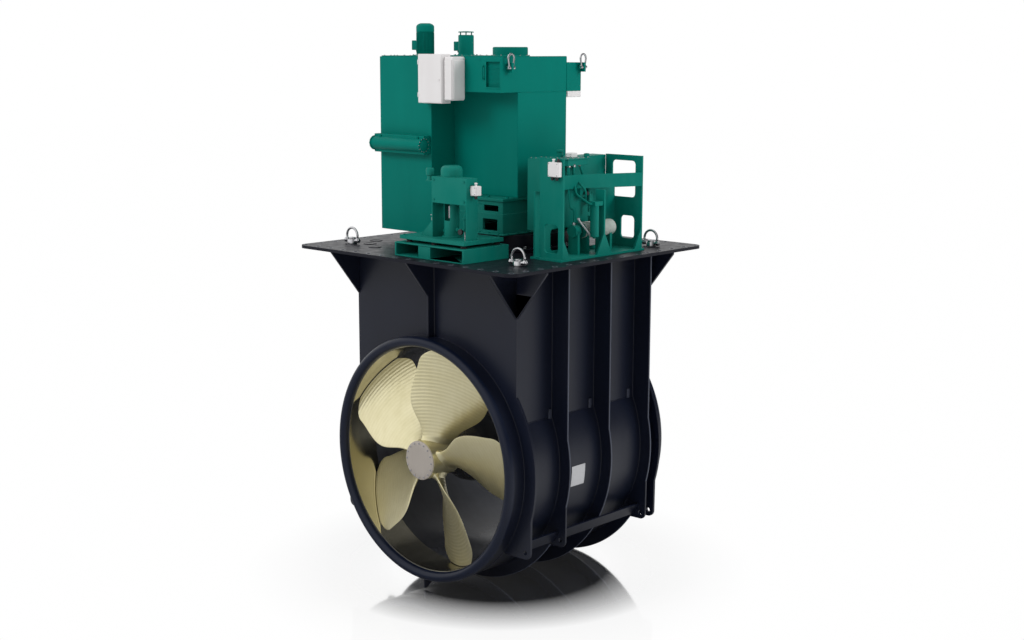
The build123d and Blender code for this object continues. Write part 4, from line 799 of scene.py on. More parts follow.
ALLOY = Finish("bare_alloy", "fin_alloy", (196, 197, 200), (182, 183, 186), (0.36, 0.46), metallic=0.4,
               grain=Grain.SPANGLED, scale=60.0, depth=0.00004, mask_share=0.3)
PALE_GREY = Finish("pale_grey_enamel", "fin_alloy", (176, 184, 178), (166, 174, 168), (0.4, 0.5), scale=420.0,
                   depth=0.00006, dust=0.04)
RUBBER = Finish("black_rubber", "black_rubber", (24, 24, 26), (34, 34, 36), (0.6, 0.75), grain=Grain.MOULDED,
                scale=500.0, depth=0.0002, dust=0.1)
GLAND = Finish("black_nylon", "black_rubber", (30, 30, 33), (40, 40, 43), (0.42, 0.55), grain=Grain.MOULDED,
               scale=600.0, depth=0.00006, dust=0.04)

NODE_FINISHES: dict[str, Finish] = {
    "trunk_side_walls": HULL, "shaft_tube": HULL, "bed_plate": BED, "propeller_shaft": SHAFT_STEEL,
    "bevel_wheel": GEAR, "bevel_pinion": GEAR, "drive_shaft": MACHINED, "rolling_bearings": MACHINED,
    "shaft_coupling": CORE, "motor_end_shields": CORE, "motor_stator": CORE, "motor_rotor": MACHINED,
    "cooler_core": ALLOY, "fan_wheel_1": ALLOY, "fan_wheel_2": ALLOY, "pump_unit_rotor": MACHINED,
    "power_pack_rotor": MACHINED, "seal_housing": MACHINED,
}


# ---------------------------------------------------------------- assemblies


@dataclass
class Assembly:
    """What every sub-assembly shares: the body that carries its pieces, and how they are kept."""

    body: str = "thruster"

    def keep(self, piece: Piece, name: str, finish: Finish, *nodes: str, body: str | None = None) -> Piece:
        """Names, dresses and mounts a finished piece.

        Args:
            piece: The piece, with its place in its mesh.
            name: Its name.
            finish: Its finish.
            nodes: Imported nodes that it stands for.
            body: The body that carries it, or None for the assembly's own.

        Returns:
            The same piece.
        """
        piece.name = name
        piece.data.name = name
        piece.data.materials.clear()
        piece.data.materials.append(finish.material())
        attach(piece, body or self.body)
        if nodes:
            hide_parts(*nodes)
        LOG.info("%s: %d faces", name, len(piece.data.polygons))
        return piece

    def refine(self, node: str, finish: Finish, width: float, segments: int = 2, angle: float = 30.0) -> Piece:
        """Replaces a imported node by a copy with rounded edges."""
        return self.keep(refined(node, width, segments, angle), node + "_finished", finish, node)


@dataclass
class Hull(Assembly):
    """Bed plate, frames, trunk, casing and the tunnel with its mouths."""

    bore: float = 1100.0
    wall: float = 25.0
    mouth: float = 1200.0
    half_length: float = 1135.0
    flange_back: float = 1075.0
    casing: float = 1187.0
    trunk_x: float = 1080.0
    trunk_y: float = 928.0
    frame_thick: float = 25.0
    seam_z: float = -1457.5
    webs: tuple[float, ...] = (-430.0, 175.0, 780.0)
    web_half: float = 10.0
    web_x: float = 1275.0
    web_ring: float = 1310.0
    web_arc: tuple[float, float] = (-204.5, 24.5)
    bead: float = 4.5
    edge_round: float = 9.0
    edge_inset: float = 5.0
    stem_y: float = 130.0
    stem_hole: float = 110.0
    bed_top: float = 30.0
    hole_x: float = 1390.0
    hole_y: float = 1330.0
    turn_steps: int = 180

    def build(self) -> None:
        """Builds every piece of the hull module."""
        for node, finish, width in (("bed_plate", BED, 4.0), ("front_frame", HULL, 7.0), ("back_frame", HULL, 7.0),
                                    ("web_frames", HULL, 7.0), ("hull_stiffeners", HULL, 4.0)):
            self.refine(node, finish, width)
        for node, finish, angle in (("outer_casing", HULL, 30.0), ("gear_housing", BORE, 34.0),
                                    ("tail_cover", BORE, 34.0)):
            self.refine(node, finish, 0.0, angle=angle)
        self.mouths()
        self.welds()
        self.web_edges()
        self.side_tabs()
        self.rating_plate()
        self.bed_trim()

    def mouths(self) -> None:
        """Turns the bore tube and the rounded ring at each mouth."""
        back, outer = self.flange_back, self.bore + self.wall
        tube = turned([(self.bore, -back), (self.bore, back), (outer, back), (outer, -back)], TUNNEL_LINE,
                      Axis.TUNNEL, self.turn_steps)
        stem = drum((0, self.stem_y, AXIS_Z + self.bore - 60), UP, 120, self.stem_hole)
        self.keep(smooth(carve(tube, stem), 30), "tunnel_bore", BORE, "tunnel_tube")
        middle, reach = (self.bore + self.mouth) / 2, (self.mouth - self.bore) / 2
        for end, name in zip(SIDES, ("front_mouth_ring", "back_mouth_ring")):
            lip = [(middle - reach * math.cos(turn), end * (self.half_length - reach + reach * math.sin(turn)))
                   for turn in map(math.radians, range(0, 181, 12))]
            profile = [(self.bore, end * back), *lip, (self.mouth, end * back)]
            self.keep(lathed(profile, TUNNEL_LINE, Axis.TUNNEL, self.turn_steps, closed=True), name, LIP)

    def welds(self) -> None:
        """Lays the fillet beads between the frames, the casing and the trunk."""
        skin, wall, sunk = self.casing + 1, self.trunk_x + 1, self.bead * 0.4
        beads = []
        for web in self.webs:
            for side in SIDES:
                y = web + side * (self.web_half + sunk)
                beads.append(bar(arc((0, y, AXIS_Z), skin, *self.web_arc, 110, Axis.TUNNEL), self.bead))
                beads += [bar([(x, y, -2), (x, y, self.seam_z)], self.bead * 0.9)
                          for x in (-self.trunk_x, self.trunk_x)]
        for side in SIDES:
            route = arc((0, side * (self.trunk_y + sunk), AXIS_Z), skin, -180, 180, 150, Axis.TUNNEL)[:-1]
            beads.append(bar(route, self.bead, closed=True))
        inner = self.trunk_y - self.frame_thick
        stations = [-inner, *[web + side * self.web_half for web in self.webs for side in SIDES], inner]
        for start, end in zip(stations[::2], stations[1::2]):
            beads += [bar([(side * wall, start, self.seam_z), (side * wall, end, self.seam_z)], self.bead)
                      for side in SIDES]
        front = -self.trunk_y - 3
        beads += [bar([(side * 13, front, -10), (side * 13, front, AXIS_Z + self.casing)], 6) for side in SIDES]
        self.keep(smooth(merged(beads), 60), "weld_beads", HULL)

    def web_edges(self) -> None:
        """Rounds the outer edge of each web frame and colours it a lighter navy, a painted highlight where the edge
        catches the light.
        """
        reach, ring_reach = self.web_x - self.edge_inset, self.web_ring - self.edge_inset
        turn = math.degrees(math.acos(reach / ring_reach))
        edges = []
        for y in self.webs:
            for side, start, end in ((1, turn, -84), (-1, 180 - turn, 264)):
                under = arc((0, y, AXIS_Z), ring_reach, start, end, 60, Axis.TUNNEL)
                edges.append(bar([(side * reach, y, -2), *under], self.edge_round))
        self.keep(smooth(merged(edges), 60), "web_edge_rounds", PAINTED_EDGE_HIGHLIGHT)

    def side_tabs(self) -> None:
        """Adds the small tabs over the seam on the right-hand side."""
        tabs = [plate((self.trunk_x, y - 20, z - 46), (self.trunk_x + 10, y + 20, z + 46), 3)
                for y, z in ((-470, -1422), (106, -1416), (691, -1416))]
        self.keep(merged(tabs), "side_tabs", TAB)

    def rating_plate(self) -> None:
        """Bends the bare rating plate round the casing and rivets it."""
        middle, height, y, width, radius = -5.2, 9.7, -172, 192, self.casing + 1
        clear_selection()
        bpy.ops.mesh.primitive_grid_add(x_subdivisions=2, y_subdivisions=16, size=1)
        sheet = bpy.context.object
        for vertex in sheet.data.vertices:
            turn = middle + vertex.co.y * height
            vertex.co = Vector(ring((0, y + vertex.co.x * width, AXIS_Z), radius, [turn], Axis.TUNNEL)[0]) * MM
        pick(sheet)
        wall = sheet.modifiers.new("wall", "SOLIDIFY")
        wall.thickness = 3 * MM
        wall.offset = -1.0 if sheet.data.polygons[0].normal.x < 0 else 1.0
        bpy.ops.object.modifier_apply(modifier="wall")
        pins = []
        for turn in (-0.9, -9.5):
            out = ring((0, 0, 0), 1, [turn], Axis.TUNNEL)[0]
            pins += [placed((radius + 2) * out[0], y + side * 84, AXIS_Z + (radius + 2) * out[2], out)
                     for side in SIDES]
        rivets = copies(turned([(0, 2.2), (3.2, 1.6), (5, 0), (0, 0)], ORIGIN, Axis.UP, 12, closed=False), pins)
        self.keep(merged([sheet, rivets]), "rating_plate", ALLOY)

    def bed_trim(self) -> None:
        """Adds the blind covers in the bed plate and the bare steel round its bolt holes."""
        profile = [(0, 34), (46, 34), (50, 36), (62, 36), (65, 33), (65, 30), (0, 30)]
        covers = [turned(profile, (x, y, 0), Axis.UP, 40, closed=False)
                  for x, y in ((-985, -850), (-760, -985), (-1130, -640), (1180, 930), (-1180, 930))]
        self.keep(smooth(merged(covers), 30), "blind_covers", BED)
        places = [placed(float(x), side * self.hole_y, self.bed_top)
                  for x in np.linspace(-self.hole_x, self.hole_x, 16) for side in SIDES]
        places += [placed(side * self.hole_x, float(y), self.bed_top)
                   for y in np.linspace(-self.hole_y, self.hole_y, 15)[1:-1] for side in SIDES]
        face = lathed([(17.2, 0), (17.2, 0.8), (27, 0.8), (28, 0)], ORIGIN, Axis.UP, 28, closed=True)
        self.keep(copies(face, places), "bolt_hole_spot_faces", WORN)


@dataclass
class PropellerUnit(Assembly):
    """Bladed wheel, hub cap and the polished band round it."""

    body: str = "propeller_line"
    blades: int = 5
    tip: float = 1089.0
    hub: float = 190.0
    hub_front: float = -1119.0
    hub_back: float = -759.0
    station: float = -930.72
    shaft: float = 90.05
    phase: float = 74.1
    rake: float = 48.0
    skew: float = 6.7
    pitch: tuple[float, float, float] = (0.3, 1964.0, 2861.0)
    root: float = 0.162
    shares: tuple[float, ...] = (0.145, 0.30, 0.50, 0.70, 0.85, 0.95, 0.99, 1.025)
    chords: tuple[float, ...] = (290.0, 407.0, 701.0, 803.0, 816.0, 764.0, 620.0, 440.0)
    thicks: tuple[float, ...] = (76.0, 60.0, 44.0, 31.0, 22.0, 16.0, 13.0, 9.0)
    fillet: float = 62.0
    fillet_chord: float = 46.0
    fillet_thick: float = 78.0
    mesh_steps: tuple[int, int] = (56, 46)

    def build(self) -> None:
        """Builds the wheel, its cap and screws, and the band."""
        parts = [self.blade(index) for index in range(self.blades)]
        self.keep(merged([*parts, self.hub_body()]), "propeller_casting", BRONZE, "propeller")
        self.cap()
        band = [(1097.0, -1065.0), (1097.0, -715.0), (1100.0, -715.0), (1100.0, -1065.0)]
        self.keep(lathed(band, TUNNEL_LINE, Axis.TUNNEL, 180, closed=True), "polished_band", BAND, "wear_band",
                  body="thruster")

    def blade(self, index: int) -> Piece:
        """Shapes one blade from a grid wrapped round its sections.

        Args:
            index: Number of the blade round the hub.

        Returns:
            The closed blade.
        """
        clear_selection()
        bpy.ops.mesh.primitive_grid_add(x_subdivisions=self.mesh_steps[0], y_subdivisions=self.mesh_steps[1], size=1)
        piece = bpy.context.object
        flat = np.array([(vertex.co.x + 0.5, vertex.co.y + 0.5) for vertex in piece.data.vertices])
        outward = flat[:, 1] * 0.7 + 0.3 * (0.5 - 0.5 * np.cos(np.pi * flat[:, 1]))
        share = self.root + (1.0 - self.root) * outward
        radius = share * self.tip
        swell = np.clip(1.0 - np.clip(radius - self.hub, 0.0, None) / self.fillet, 0.0, 1.0) ** 2.2
        chord = spline(self.shares, self.chords, share) + self.fillet_chord * swell
        thick = spline(self.shares, self.thicks, share) + self.fillet_thick * swell
        turn = flat[:, 0] * math.tau
        along_share = 0.5 - 0.5 * np.cos(turn)
        nose = np.sqrt(np.clip(1.0 - np.abs(2 * along_share - 1.0) ** 14, 0.0, 1.0))
        belly = np.clip(np.sin(np.pi * along_share), 0.0, 1.0) ** 0.75
        height = thick * (0.2 * nose + 0.8 * belly) / 2 * np.where(turn <= math.pi, 1.0, -1.0)
        along = (along_share - 0.5) * chord
        first_share, first_pitch, last_pitch = self.pitch
        beyond = share - first_share
        pitch = first_pitch + (last_pitch - first_pitch) * beyond / (1 - first_share)
        slope = np.arctan2(pitch, math.tau * radius)
        lean = -self.skew * beyond * np.abs(beyond)
        across = height * np.sin(slope) - along * np.cos(slope) + radius * np.radians(lean)
        depth = along * np.sin(slope) + height * np.cos(slope) + self.station + self.rake * share
        angle = across / radius + math.radians(self.phase + index * 360 / self.blades)
        spots = np.stack([radius * np.cos(angle), depth, AXIS_Z + radius * np.sin(angle)], axis=1) * MM
        piece.data.vertices.foreach_set("co", spots.astype(np.float32).ravel())
        pick(piece)
        bpy.ops.object.mode_set(mode="EDIT")
        bpy.ops.mesh.select_all(action="SELECT")
        bpy.ops.mesh.remove_doubles(threshold=2e-5)
        bpy.ops.mesh.fill_holes(sides=0)
        bpy.ops.mesh.select_all(action="SELECT")
        bpy.ops.mesh.normals_make_consistent(inside=False)
        bpy.ops.object.mode_set(mode="OBJECT")
        return smooth(piece, 50)

    def hub_body(self) -> Piece:
        """Turns the hub with its shaft bore."""
        front, back = self.hub_front, self.hub_back
        profile = [(self.shaft, front), (self.hub - 3, front), (self.hub, front + 3), (self.hub, back - 8),
                   (self.hub - 8, back), (self.shaft, back)]
        return lathed(profile, TUNNEL_LINE, Axis.TUNNEL, 96, closed=True)

    def cap(self) -> None:
        """Turns the hub cap and sets its screws."""
        front = self.hub_front
        profile = [(0, front - 12), (110, front - 12), (118, front - 13), (181, front - 13), (187, front - 10),
                   (190, front - 6), (190, front), (0, front)]
        self.keep(lathed(profile, TUNNEL_LINE, Axis.TUNNEL, 96), "hub_cap_disc", HUB_STEEL, "hub_cap")
        spots = ring((0, front - 13, AXIS_Z), 168, np.arange(0, 360, 22.5), Axis.TUNNEL)
        self.keep(copies(socket_screw(9.0), [placed(*spot, (0, -1, 0)) for spot in spots]), "hub_cap_screws",
                  BRIGHT, "hub_cap_bolts")


@dataclass
class HoistRing(Assembly):
    """One swivel hoist ring: its body and its bail."""

    number: int = 1
    x: float = 1126.0
    y: float = -958.0
    pivot_z: float = 65.0
    rise: float = 45.0
    bow: float = 78.0
    wire: float = 12.0

    def build(self) -> None:
        """Builds the swivel body with its bosses, and the bail with its eyes."""
        x, y, z = self.x, self.y, self.pivot_z
        reach = math.sqrt(self.bow ** 2 - self.rise ** 2)
        profile = [(18.05, 30.3), (44, 30.3), (48, 34), (48, 68), (44, 75.3), (18.05, 75.3)]
        body = [lathed(profile, (x, y, 0), Axis.UP, 48, closed=True)]
        for side in SIDES:
            out = (side, 0, 0)
            body += [soften(drum((x + side * 38, y, z - 4), out, 17, 17, sides=28), 2),
                     drum((x + side * 50, y, z), out, reach + 20.5 - 50, 8.9, sides=20),
                     soften(drum((x + side * (reach + 8.6), y, z), out, 24, 27, sides=6), 2.5, 2),
                     soften(drum((x + side * (reach + 32), y, z), out, 12, 18, 15, sides=24), 2, 1)]
        self.keep(merged(body), f"hoist_swivel_{self.number}_body", BRIGHT, f"hoist_body_{self.number}",
                  body=f"hoist_swivel_{self.number}")
        start = math.degrees(math.atan2(-self.rise, reach))
        route = arc((x, y, z + self.rise), self.bow, start + 4, 176 - start, 48, Axis.TUNNEL)
        eyes = [eye((x + side * reach, y, z), Axis.ACROSS, 9.2, 8) for side in SIDES]
        self.keep(merged([smooth(bar(route, self.wire, round_steps=5), 60), *eyes]),
                  f"hoist_ring_{self.number}_bail", BRIGHT, f"hoist_bail_{self.number}",
                  body=f"hoist_ring_{self.number}")


@dataclass
class HeadShackle(Assembly):
    """One bow shackle on the air head's lug."""

    number: int = 1
    y: float = -353.0
    x: float = 465.0
    z: float = 1765.0
    wire: float = 9.46
    bow: float = 39.0
    rise: float = 87.0
    leg: float = 23.3

    def build(self) -> None:
        """Builds the bow with its eyes, and the pin with its head and nut."""
        x, y, z = self.x, self.y, self.z
        start = math.degrees(math.acos(self.bow / math.hypot(self.leg, self.rise)) - math.atan2(self.rise, self.leg))
        top = arc((x, y, z + self.rise), self.bow, start, 180 - start, 40, Axis.ACROSS)
        route = [(x, y + self.leg, z), *top, (x, y - self.leg, z)]
        parts = [smooth(bar(route, self.wire, round_steps=5), 60)]
        parts += [eye((x, y + side * self.leg, z), Axis.TUNNEL, 10.2, 10) for side in SIDES]
        reach = self.leg + 11
        parts += [drum((x, y - reach, z), (0, 1, 0), 2 * reach, 9.8, sides=24),
                  nut((x, y - reach - 12, z), (0, 1, 0), 12, 18), nut((x, y + reach, z), (0, 1, 0), 12, 17)]
        self.keep(merged(parts), f"shackle_{self.number}_bow", BRIGHT, f"shackle_{self.number}",
                  body=f"head_shackle_{self.number}")


@dataclass
class MotorTower(Assembly):
    """Stem flange, pedestal, motor and air head."""

    half_x: float = 427.0
    shaft_y: float = 130.0
    front: float = -218.0
    back: float = 478.0
    head_front: float = -450.0
    head_floor: float = 1535.0
    head_top: float = 1865.0
    window_x: tuple[float, float] = (240.0, 415.0)
    window_rise: tuple[float, float] = (50.0, 285.0)
    window_depth: float = 28.0
    slat_gap: float = 11.5
    handle_x: float = 205.0
    handle_z: tuple[float, float] = (1660.0, 1780.0)

    def build(self) -> None:
        """Builds the tower from the stem flange up."""
        for node, finish, width, segments in (("stem_flange", BED, 6.0, 2), ("motor_pedestal", GREEN_WELD, 5.0, 2),
                                              ("motor_housing", GREEN, 9.0, 3), ("head_duct", GREEN, 5.0, 2)):
            self.refine(node, finish, width, segments)
        turns = np.arange(11.25, 360, 22.5)
        spots = ring((0, self.shaft_y, 65), 660, turns, Axis.UP)
        places = [placed(*spot, spin=turn) for spot, turn in zip(spots, turns)]
        self.keep(copies(hex_screw(21.0), places), "stem_flange_screws", BRIGHT, "stem_flange_bolts")
        self.cover()
        self.window()
        self.seams()
        self.foot_screws()

    def cover(self) -> None:
        """Turns the round cover on the head and sets its screws."""
        top = self.head_top
        profile = [(162, top), (162, top + 82), (0, top + 82), (0, top + 92), (160, top + 92), (169, top + 88),
                   (172, top + 80), (172, top + 14), (176, top + 10), (189, top + 10), (192, top + 7), (192, top)]
        self.keep(lathed(profile, (0, self.shaft_y, 0), Axis.UP, 80, closed=True), "head_round_cover", GREEN,
                  "top_cover")
        spots = ring((0, self.shaft_y, top + 10), 183, range(15, 360, 30), Axis.UP)
        self.keep(copies(hex_screw(6.5), [placed(*spot) for spot in spots]), "round_cover_screws", BRIGHT)

    def window(self) -> None:
        """Frames the head's air window, fills it with slats and adds the small handle beside it."""
        left, right = self.window_x
        low, high = (self.head_floor + rise for rise in self.window_rise)
        y, proud, back = self.head_front, self.head_front - 5, self.head_front + self.window_depth
        frame = [((left - 14, proud, low - 14), (left, y, high + 14)),
                 ((right, proud, low - 14), (right + 12, y, high + 14)),
                 ((left, proud, low - 14), (right, y, low)), ((left, proud, high), (right, y, high + 14)),
                 ((left - 3, y, low), (left, back, high)), ((right, y, low), (right + 3, back, high)),
                 ((left, y, low - 3), (right, back, low)), ((left, y, high), (right, back, high + 3))]
        self.keep(soften(merged([block(*box) for box in frame]), 1.0, 1), "air_window_frame", GREEN)
        slats = [block((left, back - 6, z), (right, back - 3, z + 9))
                 for z in np.arange(low + 3.0, high, self.slat_gap)]
        self.keep(merged(slats), "air_window_slats", GREEN)
        x, (foot, head) = self.handle_x, self.handle_z
        grip = bar(bent([(x, y, foot), (x, y - 22, foot), (x, y - 22, head), (x, y, head)], 10), 6)
        pads = [drum((x, y, z), (0, -1, 0), 4, 13, sides=24) for z in self.handle_z]
        self.keep(smooth(merged([grip, *pads]), 50), "head_handle", GREEN)
        self.keep(plate((135, y - 3, 1830), (165, y, 1850), 1, 1), "head_side_tag", GREEN)

    def seams(self) -> None:
        """Adds the standing seams and the roof lip of the motor's casing."""
        side, floor, top = self.half_x, self.head_floor, self.head_top
        strips = [((side, self.back - 3, floor + 4), (side + 4, self.back + 3, top - 60)),
                  ((side - 6, self.head_front + 4, top), (side, self.back - 4, top + 6)),
                  ((8 - side, self.head_front, top), (side - 8, self.head_front + 6, top + 6)),
                  ((side, self.front + 20, floor - 3), (side + 3, self.back - 20, floor + 3))]
        self.keep(soften(merged([block(*box) for box in strips]), 1.5, 1), "head_seams", GREEN)

    def foot_screws(self) -> None:
        """Sets the screws of the pedestal's and the motor's feet."""
        places = [placed(float(x), y, 205) for x in np.linspace(-380, 380, 7) for y in (-430, 690)]
        places += [placed(437, float(y), 205) for y in np.linspace(-360, 620, 8)]
        self.keep(copies(hex_screw(9.0), places), "pedestal_foot_screws", GREEN)
        places = [placed(x, y, 540) for x in (-400, 400, -150, 150) for y in (-330, 590)]
        self.keep(copies(hex_screw(15.0), places), "motor_foot_screws", GREEN)


@dataclass
class Cooler(Assembly):
    """Cooler casing with its lid and header, and the two fan motors on it."""

    left: float = -1162.0
    right: float = -427.0
    front: float = -530.0
    back: float = 790.0
    top: float = 1862.0
    header_y: float = -620.0
    header_z: float = 1015.0
    fan_x: float = -895.0
    fan_y: tuple[float, float] = (-158.0, 418.0)

    def build(self) -> None:
        """Builds the cooler's casing, lid, header and fan motors."""
        self.refine("cooler_housing", GREEN, 5.0, 2)
        roof = self.top + 9
        lid = plate((self.left + 12, self.front + 12, self.top), (self.right - 12, self.back - 12, roof))
        places = [placed(float(x), y, roof) for x in np.linspace(self.left + 40, self.right - 40, 8)
                  for y in (self.front + 28, self.back - 28)]
        places += [placed(x, float(y), roof) for x in (self.left + 28, self.right - 28)
                   for y in np.linspace(self.front + 170, self.back - 170, 8)]
        self.keep(lid, "cooler_lid", GREEN)
        self.keep(copies(hex_screw(6.5), places), "cooler_lid_screws", BRIGHT)
        self.side_covers()
        self.header()
        self.fan_motors()

    def side_covers(self) -> None:
        """Adds the screwed access covers on the outer side and the back, with their grips."""
        face, rear = self.left - 4, self.back + 4
        parts, screws = [], []
        for y in (-440, 190):
            for low, high in ((260, 860), (1180, 1720)):
                parts.append(plate((face, y, low), (self.left, y + 520, high)))
                screws += [placed(face, float(spot), z, (-1, 0, 0)) for z in (low + 22, high - 22)
                           for spot in np.linspace(y + 22, y + 498, 5)]
        for x in (-1090, -760):
            parts.append(plate((x, self.back, 400), (x + 270, rear, 1600)))
            screws += [placed(float(spot), rear, z, (0, 1, 0)) for z in (424, 1576)
                       for spot in np.linspace(x + 22, x + 248, 3)]
            screws += [placed(spot, rear, float(z), (0, 1, 0)) for spot in (x + 22, x + 248)
                       for z in np.linspace(620, 1380, 5)]
            grip = [(x + 110, rear, 1000), (x + 110, rear + 30, 1000), (x + 160, rear + 30, 1000),
                    (x + 160, rear, 1000)]
            parts.append(smooth(bar(bent(grip, 10), 6), 50))
        self.keep(merged(parts), "cooler_access_covers", GREEN)
        self.keep(copies(hex_screw(7.0), screws), "access_cover_screws", BRIGHT)

    def header(self) -> None:
        """Finishes the water header with domed ends and flange screws."""
        y, z, ends = self.header_y, self.header_z, ((self.left + 6, -1), (self.right - 12, 1))
        parts = [refined("water_header", 4.0, 2)]
        parts += [lathed([(0, way * 16), (24, way * 14), (44, way * 8), (56, 0), (0, 0)], (x, y, z), Axis.ACROSS,
                         48, 50) for x, way in ends]
        self.keep(merged(parts), "water_header_finished", GREEN, "water_header")
        places = [placed(*spot, (way, 0, 0)) for x, way in ends
                  for spot in ring((x, y, z), 64, range(0, 360, 30), Axis.ACROSS)]
        self.keep(copies(hex_screw(6.0), places), "water_header_screws", BRIGHT)
        vents = [nut((x - way * 90, y, z + 55), UP, 26, 20) for x, way in ends]
        self.keep(merged(vents), "water_header_vents", GREEN)

    def fan_motors(self) -> None:
        """Builds the ribbed and the smooth fan motor with their boxes."""
        top, x, (first, second) = self.top, self.fan_x, self.fan_y
        shape = [(0, 0), (138, 0), (138, 9), (134, 12), (98, 12), (92, 18), (84, 24), (84, 236), (90, 242), (90, 292),
                 (84, 305), (70, 316), (48, 325), (0, 325)]
        parts = [lathed(shape, (x, first, top), Axis.UP, 64)]
        rib = plate((83, -2.2, 26), (90, 2.2, 236), 1, 1)
        parts.append(copies(rib, [placed(x, first, top, spin=turn) for turn in range(0, 360, 9)]))
        shape = [(0, 0), (128, 0), (128, 9), (124, 12), (88, 12), (82, 20), (80, 26), (80, 205), (76, 213), (70, 215),
                 (0, 215)]
        parts.append(lathed(shape, (x, second, top), Axis.UP, 64))
        hood = [(0, 0), (80, 0), (80, 6), (76, 10), (0, 14)]
        parts.append(lathed(hood, (x, second, top + 239), Axis.UP, 64))
        parts += [drum(spot, UP, 27, 6, sides=16)
                  for spot in ring((x, second, top + 214), 56, (45, 135, 225, 315), Axis.UP)]
        for y, radius, height, bolt_ring in ((first, 90, 62.5, 124), (second, 80, 53.75, 114)):
            low = (x - radius - 60, y - radius / 2, top + height)
            high = (x - radius * 0.8, y + radius / 2, top + height + 95)
            parts += [plate(low, high, 5, 3),
                      plate((low[0] - 5, low[1] + 4, low[2] + 4), (low[0] + 6, high[1] - 4, high[2] - 4), 3),
                      soften(drum((low[0] + 30, y, low[2]), (0, 0, -1), 18, 12, 10, sides=20), 1.5, 1)]
            spots = ring((x, y, top + 12), bolt_ring, range(30, 360, 60), Axis.UP)
            parts.append(copies(hex_screw(8.0), [placed(*spot) for spot in spots]))
        self.keep(merged(parts), "fan_motors_finished", GREEN, "fan_motors")


@dataclass
class ElectricBoxes(Assembly):
    """Control cabinet, terminal box and the small junction boxes."""

    front_boxes: tuple[tuple[Triple, Triple], ...] = (
        ((627, -1060, 632), (702, -990, 720)), ((1118, -560, 803), (1245, -510, 936)),
        ((800, 45, 930), (880, 125, 975)))
    side_box: tuple[Triple, Triple] = ((317, 488, 1475), (427, 690, 1535))
    glands: tuple[tuple[float, float, float, int], ...] = (
        (360, 520, 1475, -1), (664, -1025, 632, -1), (1150, -535, 803, -1), (1205, -535, 803, -1),
        (1222, -535, 936, 1))
    knobs: tuple[Triple, ...] = ((664, -1025, 720), (1165, -535, 936))
    screw_inset: float = 14.0

    def build(self) -> None:
        """Builds the boxes with their doors, lids and glands."""
        self.refine("control_cabinet", BOX_GREY, 6.0, 3)
        self.keep(plate((-478, -655, 1430), (-162, -648, 1883), 4, 3), "cabinet_door", BOX_GREY)
        parts = [plate((-482, -660, z), (-468, -652, z + 46), 3) for z in (1480, 1790)]
        lock = [(0, 0), (11, 0), (11, -5), (8, -7), (0, -7)]
        parts.append(lathed(lock, (-190, -655, 1650), Axis.TUNNEL, 24))
        self.keep(merged(parts), "cabinet_lock_and_hinges", BOX_GREY)
        parts = [refined("terminal_box", 7.0, 3), plate((-46, -606, 1468), (-36, -464, 1831), 9, 4),
                 plate((-146, -627, 1462), (-52, -618, 1837), 9, 4)]
        self.keep(merged(parts), "terminal_box_finished", BOX_GREY, "terminal_box")
        self.small_boxes()

    def small_boxes(self) -> None:
        """Builds the four junction boxes, their lids and their glands."""
        low, high = self.side_box
        shells = [plate(low, high, 7, 3),
                  plate((high[0] - 2, low[1] + 3, low[2] + 3), (high[0] + 6, high[1] - 3, high[2] - 3), 5, 3)]
        screws, inset = [], self.screw_inset
        for low, high in self.front_boxes:
            shells += [plate(low, high, 7, 3),
                       plate((low[0] + 3, low[1] - 6, low[2] + 3), (high[0] - 3, low[1] + 2, high[2] - 3), 5, 3)]
            screws += [placed(x, low[1] - 6, z, (0, -1, 0)) for x in (low[0] + inset, high[0] - inset)
                       for z in (low[2] + inset, high[2] - inset)]
        self.keep(merged(shells), "junction_boxes_finished", BOX_GREY, "junction_boxes")
        self.keep(copies(socket_screw(4.5), screws), "junction_box_screws", BRIGHT)
        glands = [lathed([(0, 0), (17, 0), (17, way * 10), (14, way * 12), (14, way * 26), (10, way * 32),
                          (0, way * 32)], spot, Axis.UP, 24) for *spot, way in self.glands]
        self.keep(merged(glands), "cable_glands", GLAND)
        shape = [(0, 0), (12, 0), (12, 8), (7, 11), (7, 14), (15, 17), (15, 25), (10, 29), (0, 29)]
        self.keep(merged([lathed(shape, spot, Axis.UP, 28) for spot in self.knobs]), "box_top_knobs", BOX_GREY)


